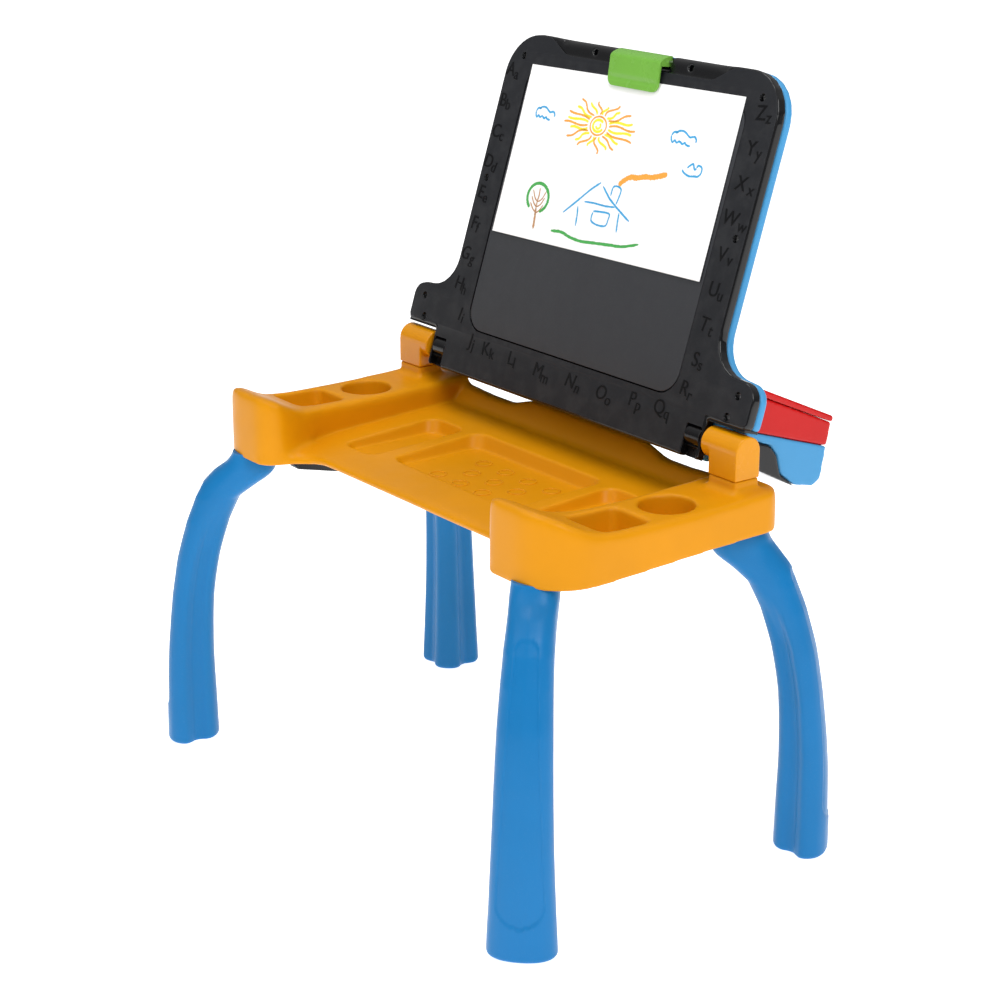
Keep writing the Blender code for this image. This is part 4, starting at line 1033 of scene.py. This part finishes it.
def screw_head(radius, thick, shank, length):
    """A domed head with a cross recess, on a threaded shank."""
    profile = [(radius * math.sin(a), thick * 0.45 * (math.cos(a) - 1))
               for a in np.linspace(0.02, math.pi / 2, 8)]
    profile += [(radius, -thick), (shank, -thick)]
    turns = int(length / 0.0009)
    for turn in range(turns):
        z = -thick - 0.0002 - (length - thick - 0.0006) * turn / turns
        profile += [(shank * 0.86, z), (shank, z - 0.00035)]
    profile.append((0.0002, -length))
    rings = [[(r * math.cos(math.tau * i / 28), r * math.sin(math.tau * i / 28), z) for i in range(28)]
             for r, z in profile]
    mesh = skin(rings)
    bars = []
    for wide, deep in ((radius * 1.1, radius * 0.26), (radius * 0.26, radius * 1.1)):
        bar = box_outline(-wide / 2, wide / 2, -deep / 2, deep / 2)
        bars.append(plate([bar], -thick * 0.85, thick, XY))
    return cut(mesh, *bars)


def make_screws():
    sizes = {"frame_screw": (0.0031, 0.0021, 0.0013, 0.0089, "board"),
             "cap_screw": (0.0033, 0.0021, 0.0015, 0.0448, "table"),
             "rail_screw": (0.0031, 0.0019, 0.0013, 0.0208, "table")}
    for kind, (radius, thick, shank, length, body) in sizes.items():
        mesh = screw_head(radius, thick, shank, length)
        for node in sorted(name for name in NODES if name.startswith(kind)):
            low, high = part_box(node)
            own = mesh.copy()
            if body == "board":
                local = BOARD.inverted() @ ((low + high) / 2)
                place = BOARD @ Matrix.Translation((local.x, FRONT + 0.0025, local.z))
                place = place @ Matrix.Rotation(math.pi / 2, 4, "X")
            else:
                middle = (low + high) / 2
                place = Matrix.Translation((middle.x, middle.y, low.z)) @ Matrix.Rotation(math.pi, 4, "X")
            finish_piece(f"{node}_head", own, STEEL, body, place, [node], 35)


def dress_small_nodes():
    for node in ("hinge_pin_left", "hinge_pin_right", "clip_pin", "clip_spring", "lid_pin"):
        NODES[node].data.materials.clear()
        NODES[node].data.materials.append(STEEL)


make_tray()
make_pocket_rings()
make_legs()
make_front_frame()
make_panel()
make_letters()
make_shell()
make_sheet()
make_drawing()
make_clip()
make_case()
make_hinges()
make_hinge_liners()
make_screws()
dress_small_nodes()


# ---------------------------------------------------------------- stage, lights and camera
def make_stage():
    work = bmesh.new()
    bmesh.ops.create_grid(work, x_segments=1, y_segments=1, size=30.0)
    made, tree, shader = new_material("floor_paper")
    cloud = spread(tree, noise(tree, 3.0), 0.0, 1.0)
    tree.links.new(mix_colours(tree, cloud, (0.90, 0.90, 0.90), (0.93, 0.93, 0.93)),
                   shader.inputs["Base Color"])
    shader.inputs["Roughness"].default_value = 0.9
    shader.inputs["Emission Color"].default_value = (1, 1, 1, 1)
    shader.inputs["Emission Strength"].default_value = 0.86
    link("floor", mesh_of(work), made)


def area_light(name, place, aim, size, power):
    data = bpy.data.lights.new(name, "AREA")
    data.shape = "RECTANGLE"
    data.size, data.size_y = size
    data.energy = power
    lamp = bpy.data.objects.new(name, data)
    bpy.context.scene.collection.objects.link(lamp)
    lamp.location = place
    lamp.rotation_euler = (Vector(aim) - Vector(place)).to_track_quat("-Z", "Y").to_euler()


def make_lights():
    middle = (0, 0, 0.35)
    area_light("key", (1.8, -0.25, 1.9), middle, (1.1, 1.1), 20)
    area_light("top", (-0.2, -0.2, 2.2), middle, (1.2, 0.5), 11)
    area_light("fill", (0.0, -1.8, 1.8), middle, (1.6, 1.0), 7.5)
    world = bpy.data.worlds.new("studio")
    world.use_nodes = True
    tree = world.node_tree
    coords = tree.nodes.new("ShaderNodeTexCoord")
    parts = tree.nodes.new("ShaderNodeSeparateXYZ")
    tree.links.new(coords.outputs["Generated"], parts.inputs["Vector"])
    glow = spread(tree, parts.outputs["Z"], 0.17, 0.68, 0.05, 0.9)
    tree.nodes["Background"].inputs["Color"].default_value = (1, 1, 1, 1)
    tree.links.new(glow, tree.nodes["Background"].inputs["Strength"])
    bpy.context.scene.world = world
    bpy.context.scene.view_settings.view_transform = "Standard"


def make_camera():
    data = bpy.data.cameras.new("camera")
    data.lens = 82.86
    data.sensor_width = 36.0
    camera = bpy.data.objects.new("camera", data)
    bpy.context.scene.collection.objects.link(camera)
    camera.location = TABLE + Vector((1.6010, -1.1779, 0.9513))
    camera.rotation_euler = (math.radians(90 - 18.49), 0, math.radians(53.15))
    bpy.context.scene.camera = camera


make_stage()
make_lights()
make_camera()
